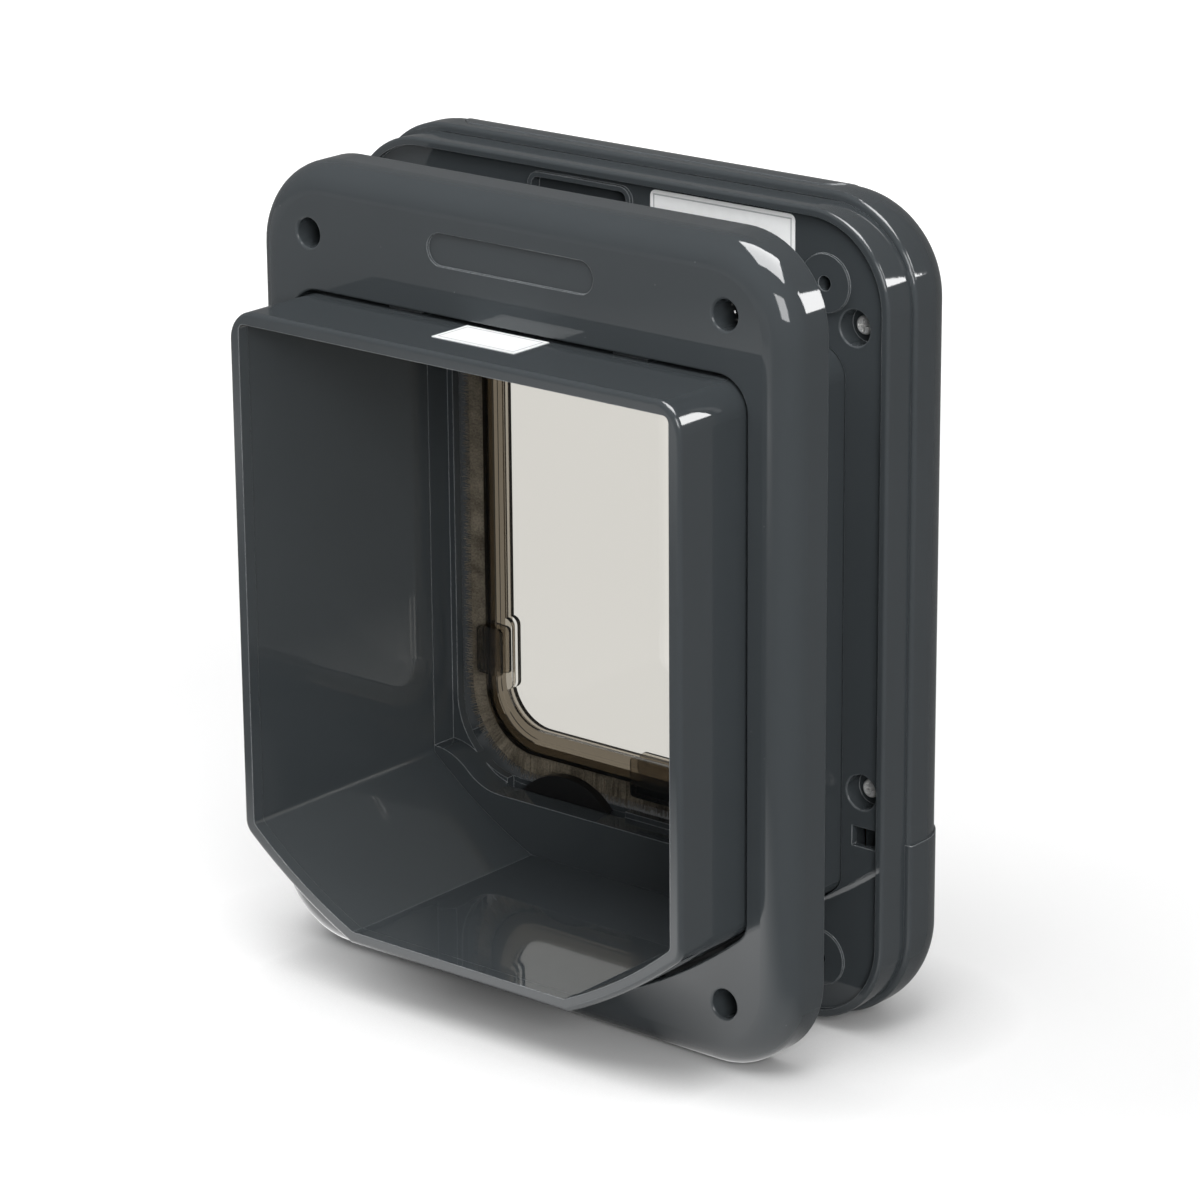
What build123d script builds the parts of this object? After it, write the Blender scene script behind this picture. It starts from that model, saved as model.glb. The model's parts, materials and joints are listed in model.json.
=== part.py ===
from build123d import *
from math import cos, hypot, radians, sin, sqrt
import os

os.makedirs("parts", exist_ok=True)

# Cat flap for a door: frame on the garden side, tunnel, and the unit with the flap on the room side.
# Millimetres. X runs to the right seen from the garden, Y from the garden to the room, Z up.
# The origin is on the floor, in the middle of the whole depth from the tunnel's mouth to the lock's knob.

# Frame on the garden side
FRAME_W = 195.0
FRAME_H = 240.0
FRAME_D = 17.4
FRAME_CORNER = 27.0
FRAME_EDGE = 9.0
FRAME_WALL = 2.5
FRAME_GAP = 1.1
FRAME_LIP = 0.8
RECESS_W = 60.4
RECESS_H = 9.6
RECESS_DEPTH = 0.8
RECESS_DROP = 18.1
PAD_W = 12.0

# Fixing screws through the door, at the corners of the frame
FIX_IN_X = 21.75
FIX_IN_Z = 20.75
FIX_BORE = 5.0
FIX_COUNTERBORE = 8.6
FIX_SEAT = 12.0
FIX_TUBE = 14.0
FIX_RING = 16.6
FIX_RING_RISE = 0.8
FIX_PILOT = 4.2
FIX_POST = 9.0

# Tunnel
TUNNEL_IN = 15.3
TUNNEL_DROP = 38.4
TUNNEL_BOTTOM = 17.9
TUNNEL_CHAMFER = 26.3
TUNNEL_FLOOR_W = 82.2
TUNNEL_BOW = 1.7
TUNNEL_CORNER = 9.0
TUNNEL_INNER_CORNER = 2.0
TUNNEL_SHOULDER_R = 6.0
TUNNEL_WALL = 3.5
MOUTH_OUT = 27.1
MOUTH_LIP = 4.0
MOUTH_STEP = 0.4
MOUTH_EDGE = 1.5

# Shells of the room-side unit
DOOR_GAP = 25.6
UNIT_OVER = 1.0
UNIT_RISE = 0.2
UNIT_CORNER = 27.0
UNIT_D = 33.5
REAR_D = 10.8
SHELL = 2.4
RIM_W = 2.4
RIM_D = 2.0
RIM_EDGE = 1.0
SLEEVE_GAP = 0.3
SLEEVE_WALL = 2.0
COVER_STEP = 1.5
COVER_CROWN = 1.0
COVER_EDGE = 16.0
COVER_REAR_EDGE = 1.2
LOWER_STEP = 0.6
SPLIT_RISE = 19.7

# Case screws and the posts that they go into
CASE_TOP_IN_X = 12.9
CASE_TOP_DROP = 32.2
CASE_LOW_IN_X = 9.1
CASE_LOW_Z = 73.8
CASE_COUNTERBORE = 10.2
CASE_EDGE = 0.5
CASE_SEAT = 6.0
CASE_TUBE_WALL = 0.8
CASE_POST = 7.0
SCREW_D = 3.0
SCREW_L = 9.0
SCREW_HEAD_D = 5.6
SCREW_HEAD_H = 2.0
SCREW_CROSS_L = 3.6
SCREW_CROSS_W = 0.8
SCREW_CROSS_D = 1.0

# Slot with a raised rim, and the windows for the lower cover's hooks
SLOT_W = 38.0
SLOT_H = 14.0
SLOT_LABEL_GAP = 6.5
SLOT_DROP = 11.0
SLOT_CORNER = 4.0
SLOT_RIM = 1.5
SLOT_RISE = 1.2
SLOT_D = 3.6
WINDOW_W = 8.2
WINDOW_H = 5.9
WINDOW_IN = 4.0

# Sill and sleeve round the flap
SILL_BACK = 10.2
LEDGE_RISE = 19.9
LEDGE_FLAT_W = 105.0
SHELF_RISE = 10.2
SILL_WALL = 2.5
SURROUND_WALL = 2.6
STOP_AHEAD = 4.0
STOP_T = 3.0
STOP_GAP = 1.6
STOP_TOP_GAP = 8.0

# Flap, its rim, brush and clips
FLAP_BACK = 25.5
HINGE_DROP = 9.6
FLAP_SIDE_GAP = 9.7
FLAP_FLOOR_GAP = 9.4
FLAP_CORNER = 19.0
FLAP_T = 2.0
RIM_T = 5.0
RIM_BAND = 8.5
RIM_INNER_BAND = 4.0
RIM_STEP = 0.8
RIM_BULGE = 2.6
RIM_BULGE_L = 22.8
FLAP_HEAD = 4.0
WINDOW_HEAD = 6.0
KNUCKLE_D = 8.0
KNUCKLE_END_GAP = 2.7
PIN_D = 4.0
PIN_L = 14.8
PIN_CLEAR = 0.05
BRUSH_OUT = 6.0
BRUSH_T = 1.6
GROOVE_T = 1.8
GROOVE_D = 3.5
BRUSH_TOP_GAP = 7.0
CLIP_L = 15.0
CLIP_Z = 77.9
CLIP_T = 1.0
CLIP_FIT = 0.1
CLIP_SHORT = 1.0
CLIP_CORNER = 1.5
FOOT_L = 22.0
FOOT_OVERHANG = 0.6
CLIP_BRIDGE = 2.0
FOOT_BRIDGE = 3.5
MAGNET_L = 18.0
MAGNET_W = 3.6
MAGNET_T = 2.0
SILL_MAGNET_T = 3.0

# Rotary lock
LOCK_X = -33.8
LOCK_Z = 23.7
LOCK_LOBE_R = 21.6
LOCK_LOBE_ANGLE = 50.0
LOCK_TOOTH_R = 25.5
LOCK_TOOTH_TURN_ANGLE = 95.0
LOCK_TOOTH_ANGLE = 20.0
LOCK_HUB_D = 12.0
LOCK_T = 3.0
LOCK_AHEAD = 4.5
LOCK_SHAFT_D = 6.0
LOCK_SHAFT_CLEAR = 0.06
LOCK_JOURNAL_L = 4.2
LOCK_BOSS_D = 11.0
LOCK_SLOT_CLEAR = 0.4
KNOB_D = 27.0
KNOB_H = 3.0
KNOB_GAP = 0.4
KNOB_WING_W = 6.0
KNOB_WING_L = 23.0
KNOB_WING_H = 6.0

# Electric latch behind the flap
LATCH_X = 32.0
LATCH_W = 10.0
LATCH_T = 2.0
LATCH_BEHIND = 0.8
LATCH_SINK = 0.6
LATCH_CLEAR = 0.3
LATCH_BRIDGE_GAP = 0.5
LATCH_BRIDGE_H = 2.6
LATCH_ROD_D = 4.0
LATCH_ROD_AHEAD = 7.5
LATCH_ROD_CLEAR = 0.06
LATCH_ROD_FOOT = 6.5
SOLENOID_W = 18.0
SOLENOID_D = 10.0
SOLENOID_H = 15.0
SOLENOID_Z = 5.0
LUG_BELOW = 3.6

# Batteries and their box
CELL_D = 14.2
CELL_L = 49.2
NUB_D = 5.5
NUB_H = 1.3
CELL_PITCH = 15.2
CELL_END_GAP = 3.7
CELL_CLEAR = 0.2
BOX_WALL = 1.6
BOX_BACK_GAP = 4.8
BOX_D = 12.0
BOX_LIFT = 0.3
CONTACT_T = 0.4
CONTACT_W = 11.0
FOOT_D = 6.0
FOOT_IN = 4.0

# Battery lid
LID_IN_X = 28.4
LID_STEP = 0.3
LID_CORNER = 8.0
LID_REAR_EDGE = 0.5
LID_GAP = 0.35
LID_RELIEF = 2.6
LID_BACK = 4.0
LID_KNUCKLE_R = 2.9
LID_PIN_R = 1.2
LID_PIN_L = 2.2
LID_PIN_CLEAR = 0.06
LID_EAR_W = 4.0

# Boards, reader coil, button and lamp lens
BOARD_T = 1.6
BOARD_W = 90.0
BOARD_H = 15.0
BOARD_STAND = 1.6
COIL_CLEAR = 0.3
COIL_T = 3.0
COIL_D = 4.6
COIL_GAP = 0.5
BUTTON_IN_X = 19.5
BUTTON_DROP = 23.0
BUTTON_D = 9.0
BUTTON_CLEAR = 0.3
BUTTON_PROUD = 0.8
BUTTON_FLANGE = 1.1
BUTTON_FLANGE_T = 1.8
BUTTON_STEM_D = 5.0
BUTTON_TRAVEL = 1.5
BUTTON_BOARD_W = 13.0
BUTTON_BOARD_H = 20.0
BUTTON_BOARD_RISE = 4.8
BUTTON_POST_D = 3.0
BUTTON_BOARD_BACK = 8.2
SWITCH_W = 6.0
SWITCH_H = 3.5
LENS_D = 4.0
LENS_CLEAR = 0.1
LENS_ABOVE = 7.0
LENS_ASIDE = 4.0

# Labels
LABEL_T = 0.2
TUNNEL_LABEL_W = 30.0
TUNNEL_LABEL_L = 15.0
TUNNEL_LABEL_X = -0.6
RATING_LABEL_W = 51.0
RATING_LABEL_H = 25.0
RATING_LABEL_RING_GAP = 2.45
RATING_LABEL_DROP = 3.4
RATING_LABEL_CORNER = 2.0

# Places worked out from the sizes above
FIX_X = FRAME_W / 2 - FIX_IN_X
FIX_Z = FRAME_H / 2 - FIX_IN_Z
FIX_POINTS = [(x, FRAME_H / 2 + z) for x in (-FIX_X, FIX_X) for z in (-FIX_Z, FIX_Z)]
RATING_LABEL_X = FIX_X - FIX_RING / 2 - RATING_LABEL_RING_GAP - RATING_LABEL_W / 2
SLOT_X = RATING_LABEL_X - RATING_LABEL_W / 2 - SLOT_LABEL_GAP - SLOT_W / 2

DUCT_HALF = FRAME_W / 2 - TUNNEL_IN
DUCT_TOP = FRAME_H - TUNNEL_DROP
DUCT_SHOULDER = TUNNEL_BOTTOM + TUNNEL_CHAMFER

WHOLE_D = MOUTH_OUT + FRAME_D + DOOR_GAP + UNIT_D + KNOB_GAP + KNOB_H + KNOB_WING_H
MOUTH_Y = -WHOLE_D / 2
FRAME_Y = MOUTH_Y + MOUTH_OUT
UNIT_Y = FRAME_Y + FRAME_D + DOOR_GAP
FACE_Y = UNIT_Y + RIM_D
SEAM_Y = UNIT_Y + REAR_D
SILL_Y = UNIT_Y + SILL_BACK
ROOM_Y = UNIT_Y + UNIT_D
WALL_Y = ROOM_Y - SHELL
UNIT_HALF = FRAME_W / 2 + UNIT_OVER
UNIT_TOP = FRAME_H + UNIT_RISE
UNIT_LIFT = COVER_STEP + LOWER_STEP
COVER_TOP = UNIT_TOP + COVER_STEP + COVER_CROWN

CASE_TOP_X = UNIT_HALF - CASE_TOP_IN_X
CASE_LOW_X = UNIT_HALF - CASE_LOW_IN_X
CASE_TOP_Z = UNIT_TOP - CASE_TOP_DROP
CASE_POINTS = [(-CASE_TOP_X, CASE_TOP_Z), (CASE_TOP_X, CASE_TOP_Z)]
CASE_POINTS += [(-CASE_LOW_X, CASE_LOW_Z), (CASE_LOW_X, CASE_LOW_Z)]
CASE_TUBE = CASE_COUNTERBORE + 2 * CASE_TUBE_WALL
CASE_SEAT_Y = FACE_Y + CASE_SEAT

PASSAGE_HALF = DUCT_HALF - TUNNEL_WALL
PASSAGE_TOP = DUCT_TOP - TUNNEL_WALL
LEDGE_Z = TUNNEL_BOTTOM + LEDGE_RISE
SHELF_Z = LEDGE_Z + SHELF_RISE
SPLIT_Z = LEDGE_Z + SPLIT_RISE
SURROUND_L = WALL_Y - SILL_Y

FLAP_Y = UNIT_Y + FLAP_BACK
HINGE_Z = DUCT_TOP - HINGE_DROP
FLAP_HALF = PASSAGE_HALF - FLAP_SIDE_GAP
FLAP_BOTTOM = LEDGE_Z + FLAP_FLOOR_GAP
FLAP_TOP = HINGE_Z + FLAP_HEAD
CLEAR_TOP = HINGE_Z - WINDOW_HEAD
RIM_FRONT = FLAP_Y - RIM_T / 2
KNUCKLE_END = PASSAGE_HALF - KNUCKLE_END_GAP

LOCK_Y = RIM_FRONT - LOCK_AHEAD + LOCK_T / 2
LATCH_Y = FLAP_Y + RIM_T / 2 + LATCH_BEHIND
ROD_Y = FLAP_Y - LATCH_ROD_AHEAD
LATCH_BRIDGE_Z = SOLENOID_Z + SOLENOID_H + LATCH_BRIDGE_GAP

BOX_Y = FACE_Y + SHELL + BOX_BACK_GAP
BOX_Z = PASSAGE_TOP + SURROUND_WALL + COIL_CLEAR + COIL_T + BOX_LIFT
CELL_ROW = 2 * (CELL_L + NUB_H) + CELL_CLEAR
BOX_INNER_HALF = CELL_ROW / 2 + CELL_END_GAP + CONTACT_T
BOX_HALF = BOX_INNER_HALF + BOX_WALL
BOX_H = CELL_PITCH + CELL_D + 2 * (BOX_WALL + CELL_CLEAR)
CELL_Y = BOX_Y + BOX_WALL + CELL_CLEAR + CELL_D / 2
CELL_LOW_Z = BOX_Z + BOX_H / 2 - CELL_PITCH / 2

LID_HALF = UNIT_HALF - LID_IN_X
LID_BOTTOM = BOX_Z
LID_PIN_Y = ROOM_Y - LID_KNUCKLE_R
LID_PIN_Z = LID_BOTTOM + LID_KNUCKLE_R
LID_BACK_Y = SEAM_Y + LID_BACK

BUTTON_X = UNIT_HALF - BUTTON_IN_X
BUTTON_Z = UNIT_TOP - BUTTON_DROP
LENS_X = BUTTON_X - LENS_ASIDE
LENS_Z = BUTTON_Z + LENS_ABOVE
BUTTON_BOARD_Y = SEAM_Y + BUTTON_BOARD_BACK
BUTTON_BOARD_Z = BUTTON_Z + BUTTON_BOARD_RISE
BUTTON_BOARD_X = BUTTON_X - LENS_ASIDE / 4


def across(y):
    """Plane across the passage at depth y, facing the garden; a negative extrude runs to the room."""
    return Plane(origin=(0, y, 0), x_dir=(1, 0, 0), z_dir=(0, -1, 0))


def duct_outline(grow):
    """Section of the tunnel, moved outward by grow: flat top and sides, bowed chamfers to a flat floor."""
    run = DUCT_HALF - TUNNEL_FLOOR_W / 2
    slope = hypot(run, TUNNEL_CHAMFER)
    half = DUCT_HALF + grow
    top = DUCT_TOP + grow
    low = TUNNEL_BOTTOM - grow
    moved_x = DUCT_HALF + grow * TUNNEL_CHAMFER / slope
    moved_z = DUCT_SHOULDER - grow * run / slope
    shoulder = moved_z + (half - moved_x) * TUNNEL_CHAMFER / run
    floor = moved_x - (moved_z - low) * run / TUNNEL_CHAMFER
    bow_x = (half + floor) / 2 + TUNNEL_BOW * TUNNEL_CHAMFER / slope
    bow_z = (shoulder + low) / 2 - TUNNEL_BOW * run / slope
    corner = TUNNEL_CORNER + grow if grow >= 0 else TUNNEL_INNER_CORNER
    with BuildSketch() as outline:
        with BuildLine():
            Line((corner - half, top), (half - corner, top))
            CenterArc((half - corner, top - corner), corner, 0, 90)
            Line((half, top - corner), (half, shoulder))
            ThreePointArc((half, shoulder), (bow_x, bow_z), (floor, low))
            Line((floor, low), (-floor, low))
            ThreePointArc((-floor, low), (-bow_x, bow_z), (-half, shoulder))
            Line((-half, shoulder), (-half, top - corner))
            CenterArc((corner - half, top - corner), corner, 90, 90)
        make_face()
        fillet(outline.vertices().sort_by(Axis.Y)[2:4], TUNNEL_SHOULDER_R + grow)
    return outline.sketch


def passage_outline(grow=0.0):
    """Opening that the flap hangs in: the tunnel's inside with a raised, shouldered sill."""
    corner = TUNNEL_CORNER - TUNNEL_WALL
    flat = LEDGE_FLAT_W / 2
    bend_x = (PASSAGE_HALF + flat) / 2
    bend_z = (LEDGE_Z + SHELF_Z) / 2
    inner_top = PASSAGE_TOP - corner
    with BuildSketch() as outline:
        with BuildLine():
            Line((corner - PASSAGE_HALF, PASSAGE_TOP), (PASSAGE_HALF - corner, PASSAGE_TOP))
            CenterArc((PASSAGE_HALF - corner, inner_top), corner, 0, 90)
            Line((PASSAGE_HALF, inner_top), (PASSAGE_HALF, SHELF_Z))
            TangentArc((PASSAGE_HALF, SHELF_Z), (bend_x, bend_z), tangent=(-1, 0))
            TangentArc((flat, LEDGE_Z), (bend_x, bend_z), tangent=(1, 0))
            Line((flat, LEDGE_Z), (-flat, LEDGE_Z))
            TangentArc((-flat, LEDGE_Z), (-bend_x, bend_z), tangent=(-1, 0))
            TangentArc((-PASSAGE_HALF, SHELF_Z), (-bend_x, bend_z), tangent=(1, 0))
            Line((-PASSAGE_HALF, SHELF_Z), (-PASSAGE_HALF, inner_top))
            CenterArc((corner - PASSAGE_HALF, inner_top), corner, 90, 90)
        make_face()
        if grow:
            offset(amount=grow)
    return outline.sketch


def unit_outline(grow, crown=0.0):
    """Rounded section of the room-side unit, moved outward by grow and raised at its top by crown."""
    height = UNIT_TOP - UNIT_LIFT + crown
    with BuildSketch() as outline:
        with Locations((0, UNIT_LIFT + height / 2)):
            RectangleRounded(2 * (UNIT_HALF + grow), height + 2 * grow, UNIT_CORNER + grow + crown)
    return outline.sketch


def flap_outline(grow):
    """Flap's outline, moved outward by grow at the sides and the rounded bottom corners."""
    half = FLAP_HALF + grow
    low = FLAP_BOTTOM - grow
    with BuildSketch() as outline:
        with Locations((0, (low + FLAP_TOP) / 2)):
            Rectangle(2 * half, FLAP_TOP - low)
        fillet(outline.vertices().group_by(Axis.Y)[0], FLAP_CORNER + grow / 2)
    return outline.sketch


def cover_shell(grow):
    """Whole room-side shell with its rounded edge and the passage through it, grown by grow."""
    with BuildPart() as hollow:
        with BuildSketch(across(SEAM_Y)):
            add(unit_outline(COVER_STEP - SHELL, COVER_CROWN))
        extrude(amount=SEAM_Y - WALL_Y)
        fillet(hollow.faces().sort_by(Axis.Y)[-1].edges(), COVER_EDGE - SHELL)
    with BuildPart() as shell:
        with BuildSketch(across(SEAM_Y)):
            add(unit_outline(COVER_STEP + grow, COVER_CROWN))
        extrude(amount=SEAM_Y - ROOM_Y)
        fillet(shell.faces().sort_by(Axis.Y)[-1].edges(), COVER_EDGE)
        fillet(shell.faces().sort_by(Axis.Y)[0].edges(), COVER_REAR_EDGE)
        add(hollow.part, mode=Mode.SUBTRACT)
        with BuildSketch(across(WALL_Y)):
            add(passage_outline())
        extrude(amount=-SHELL, mode=Mode.SUBTRACT)
    return shell.part


def lid_block(gap):
    """Block that takes the battery lid out of the room-side shell, grown by gap on every side."""
    low = LID_PIN_Z - gap
    high = COVER_TOP + LID_STEP
    with BuildPart() as block:
        with BuildSketch(across(LID_BACK_Y - gap)):
            with Locations((0, (low + high) / 2)):
                Rectangle(2 * (LID_HALF + gap), high - low)
        extrude(amount=LID_BACK_Y - gap - ROOM_Y)
        fillet(block.edges().filter_by(Axis.Z).group_by(Axis.Y)[0], LID_CORNER + gap)
        with BuildSketch(Plane.YZ.offset(-LID_HALF - gap)):
            with Locations((LID_PIN_Y, LID_PIN_Z)):
                Circle(LID_KNUCKLE_R + gap)
        extrude(amount=2 * (LID_HALF + gap))
    return block.part


# Frame on the garden side: a moulded shell with a rounded front edge
with BuildPart() as frame_hollow:
    with BuildSketch(across(FRAME_Y + FRAME_WALL)):
        with Locations((0, FRAME_H / 2)):
            RectangleRounded(FRAME_W - 2 * FRAME_WALL, FRAME_H - 2 * FRAME_WALL, FRAME_CORNER - FRAME_WALL)
    extrude(amount=FRAME_WALL - FRAME_D)
    fillet(frame_hollow.faces().sort_by(Axis.Y)[0].edges(), FRAME_EDGE - FRAME_WALL)

with BuildPart() as outer_frame:
    with BuildSketch(across(FRAME_Y)):
        with Locations((0, FRAME_H / 2)):
            RectangleRounded(FRAME_W, FRAME_H, FRAME_CORNER)
    extrude(amount=-FRAME_D)
    fillet(outer_frame.faces().sort_by(Axis.Y)[0].edges(), FRAME_EDGE)
    add(frame_hollow.part, mode=Mode.SUBTRACT)
    # collar round the tunnel and the four screw tubes, all down to the door
    with BuildSketch(across(FRAME_Y + FRAME_WALL / 2)):
        add(duct_outline(FRAME_GAP + FRAME_WALL))
        with Locations(*FIX_POINTS):
            Circle(FIX_TUBE / 2)
    extrude(amount=FRAME_WALL / 2 - FRAME_D)
    with BuildSketch(across(FRAME_Y)):
        add(duct_outline(FRAME_GAP))
        with Locations(*FIX_POINTS):
            Circle(FIX_BORE / 2)
    extrude(amount=-FRAME_D, mode=Mode.SUBTRACT)
    with BuildSketch(across(FRAME_Y)):
        with Locations(*FIX_POINTS):
            Circle(FIX_COUNTERBORE / 2)
    extrude(amount=-FIX_SEAT, mode=Mode.SUBTRACT)
    face_edges = outer_frame.faces().sort_by(Axis.Y)[0].inner_wires().edges()
    fillet(face_edges, FRAME_LIP)
    with BuildSketch(across(FRAME_Y)):
        with Locations((0, FRAME_H - RECESS_DROP)):
            SlotOverall(RECESS_W, RECESS_H)
    extrude(amount=-RECESS_DEPTH, mode=Mode.SUBTRACT)
    # pads that centre the frame on the tunnel
    with BuildSketch(across(FRAME_Y + FRAME_WALL)):
        for side in (-1, 1):
            for height in (DUCT_TOP - 3 * PAD_W, FRAME_H / 2, DUCT_SHOULDER + 2 * PAD_W):
                with Locations((side * (DUCT_HALF + FRAME_GAP), height)):
                    Rectangle(2 * FRAME_GAP, PAD_W)
            with Locations((side * DUCT_HALF / 2, DUCT_TOP + FRAME_GAP)):
                Rectangle(PAD_W, 2 * FRAME_GAP)
    extrude(amount=FRAME_WALL - FRAME_D)
outer_frame.part.label = "outer_frame"
export_step(outer_frame.part, "parts/outer_frame.step")

# Tunnel: one duct from its mouth to the sill, with a narrow inner lip at the mouth
with BuildPart() as tunnel:
    with BuildSketch(across(MOUTH_Y)):
        add(duct_outline(0))
    extrude(amount=MOUTH_Y - SILL_Y)
    fillet(tunnel.faces().sort_by(Axis.Y)[0].edges(), MOUTH_EDGE)
    with BuildSketch(across(MOUTH_Y)):
        add(duct_outline(-TUNNEL_WALL - MOUTH_STEP))
    extrude(amount=MOUTH_Y - SILL_Y, mode=Mode.SUBTRACT)
    with BuildSketch(across(MOUTH_Y + MOUTH_LIP)):
        add(duct_outline(-TUNNEL_WALL))
    extrude(amount=MOUTH_Y + MOUTH_LIP - SILL_Y, mode=Mode.SUBTRACT)
tunnel.part.label = "tunnel"
export_step(tunnel.part, "parts/tunnel.step")

# Door-side shell of the unit: rim, recessed face, sleeve for the tunnel, screw rings and tubes
SLOT_Z = UNIT_TOP - SLOT_DROP
WINDOW_X = UNIT_HALF - WINDOW_IN - WINDOW_W / 2
WINDOW_Z = SPLIT_Z + WINDOW_H / 2
with BuildPart() as rear_housing:
    with BuildSketch(across(UNIT_Y)):
        add(unit_outline(0))
    extrude(amount=-REAR_D)
    fillet(rear_housing.faces().sort_by(Axis.Y)[0].edges(), RIM_EDGE)
    with BuildSketch(across(UNIT_Y)):
        add(unit_outline(-RIM_W))
    extrude(amount=-RIM_D, mode=Mode.SUBTRACT)
    with BuildSketch(across(FACE_Y + SHELL)):
        add(unit_outline(-SHELL))
    extrude(amount=FACE_Y + SHELL - SEAM_Y, mode=Mode.SUBTRACT)
    with BuildSketch(across(FACE_Y)):
        add(duct_outline(SLEEVE_GAP + SLEEVE_WALL))
        with Locations(*FIX_POINTS):
            Circle(FIX_POST / 2)
        with Locations(*CASE_POINTS):
            Circle(CASE_TUBE / 2)
    extrude(amount=FACE_Y - SEAM_Y)
    with BuildSketch(across(FACE_Y - FIX_RING_RISE)):
        with Locations(*FIX_POINTS):
            Circle(FIX_RING / 2)
    extrude(amount=-FIX_RING_RISE)
    with BuildSketch(across(FACE_Y - SLOT_RISE)):
        with Locations((SLOT_X, SLOT_Z)):
            RectangleRounded(SLOT_W, SLOT_H, SLOT_CORNER)
    extrude(amount=-SLOT_D - SHELL)
    with BuildSketch(across(FACE_Y - SLOT_RISE)):
        with Locations((SLOT_X, SLOT_Z)):
            RectangleRounded(SLOT_W - 2 * SLOT_RIM, SLOT_H - 2 * SLOT_RIM, SLOT_CORNER - SLOT_RIM)
    extrude(amount=-SLOT_D, mode=Mode.SUBTRACT)
    with BuildSketch(across(FACE_Y)):
        add(duct_outline(SLEEVE_GAP))
        with Locations(*CASE_POINTS):
            Circle(SCREW_D / 2 + SLEEVE_GAP)
    extrude(amount=FACE_Y - SEAM_Y, mode=Mode.SUBTRACT)
    with BuildSketch(across(FACE_Y)):
        with Locations(*CASE_POINTS):
            Circle(CASE_COUNTERBORE / 2)
    extrude(amount=-CASE_SEAT, mode=Mode.SUBTRACT)
    circles = rear_housing.edges().filter_by(GeomType.CIRCLE)
    rims = circles.filter_by_position(Axis.Y, UNIT_Y, FACE_Y + SHELL / 2)
    fillet([rim for rim in rims if abs(rim.radius - CASE_COUNTERBORE / 2) < CASE_EDGE / 2], CASE_EDGE)
    with BuildSketch(across(FACE_Y - FIX_RING_RISE)):
        with Locations(*FIX_POINTS):
            Circle(FIX_PILOT / 2)
    extrude(amount=FACE_Y - FIX_RING_RISE - SEAM_Y, mode=Mode.SUBTRACT)
    with BuildSketch(across(FACE_Y)):
        with Locations((-WINDOW_X, WINDOW_Z), (WINDOW_X, WINDOW_Z)):
            Rectangle(WINDOW_W, WINDOW_H)
    extrude(amount=-SHELL, mode=Mode.SUBTRACT)
rear_housing.part.label = "rear_housing"
export_step(rear_housing.part, "parts/rear_housing.step")

# Room-side shell above the split, with screw posts, lid hinge ears, button hole and lens hole
POST_IN = BUTTON_POST_D / 2 + BUTTON_CLEAR
POST_Z = BUTTON_BOARD_Z + BUTTON_BOARD_H / 2 - POST_IN
POST_X = BUTTON_BOARD_W / 2 - POST_IN
BUTTON_POSTS = [(BUTTON_BOARD_X - POST_X, POST_Z), (BUTTON_BOARD_X + POST_X, POST_Z)]
EAR_X = LID_HALF + LID_GAP + LID_EAR_W / 2
with BuildPart() as inner_cover:
    add(cover_shell(0))
    split(bisect_by=Plane.XY.offset(SPLIT_Z), keep=Keep.TOP)
    with BuildSketch(across(SEAM_Y)):
        with Locations(*CASE_POINTS):
            Circle(CASE_POST / 2)
    extrude(amount=SEAM_Y - WALL_Y)
    with BuildSketch(across(BUTTON_BOARD_Y + BOARD_T)):
        with Locations(*BUTTON_POSTS):
            Circle(BUTTON_POST_D / 2)
    extrude(amount=BUTTON_BOARD_Y + BOARD_T - WALL_Y)
    with BuildSketch(across(ROOM_Y - 2 * LID_KNUCKLE_R)):
        for side in (-1, 1):
            with Locations((side * EAR_X, LID_PIN_Z)):
                Rectangle(LID_EAR_W, 2 * LID_KNUCKLE_R)
    extrude(amount=SHELL - 2 * LID_KNUCKLE_R)
    add(lid_block(LID_GAP), mode=Mode.SUBTRACT)
    # relief in front of the knuckle that lets the lid swing down
    with BuildSketch(across(LID_PIN_Y)):
        with Locations((0, LID_PIN_Z)):
            Rectangle(2 * (LID_HALF + LID_GAP), 2 * LID_RELIEF)
    extrude(amount=LID_PIN_Y - ROOM_Y, mode=Mode.SUBTRACT)
    with BuildSketch(Plane.YZ.offset(-LID_HALF - LID_PIN_L - LID_GAP)):
        with Locations((LID_PIN_Y, LID_PIN_Z)):
            Circle(LID_PIN_R + LID_PIN_CLEAR)
    extrude(amount=2 * (LID_HALF + LID_PIN_L + LID_GAP), mode=Mode.SUBTRACT)
    with BuildSketch(across(SEAM_Y)):
        with Locations(*CASE_POINTS):
            Circle(SCREW_D / 2)
    extrude(amount=-SCREW_L, mode=Mode.SUBTRACT)
    with BuildSketch(across(WALL_Y - SHELL)):
        with Locations((BUTTON_X, BUTTON_Z)):
            Circle(BUTTON_D / 2 + BUTTON_CLEAR)
        with Locations((LENS_X, LENS_Z)):
            Circle(LENS_D / 2 + LENS_CLEAR)
    extrude(amount=-2 * SHELL, mode=Mode.SUBTRACT)
inner_cover.part.label = "inner_cover"
export_step(inner_cover.part, "parts/inner_cover.step")

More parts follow.
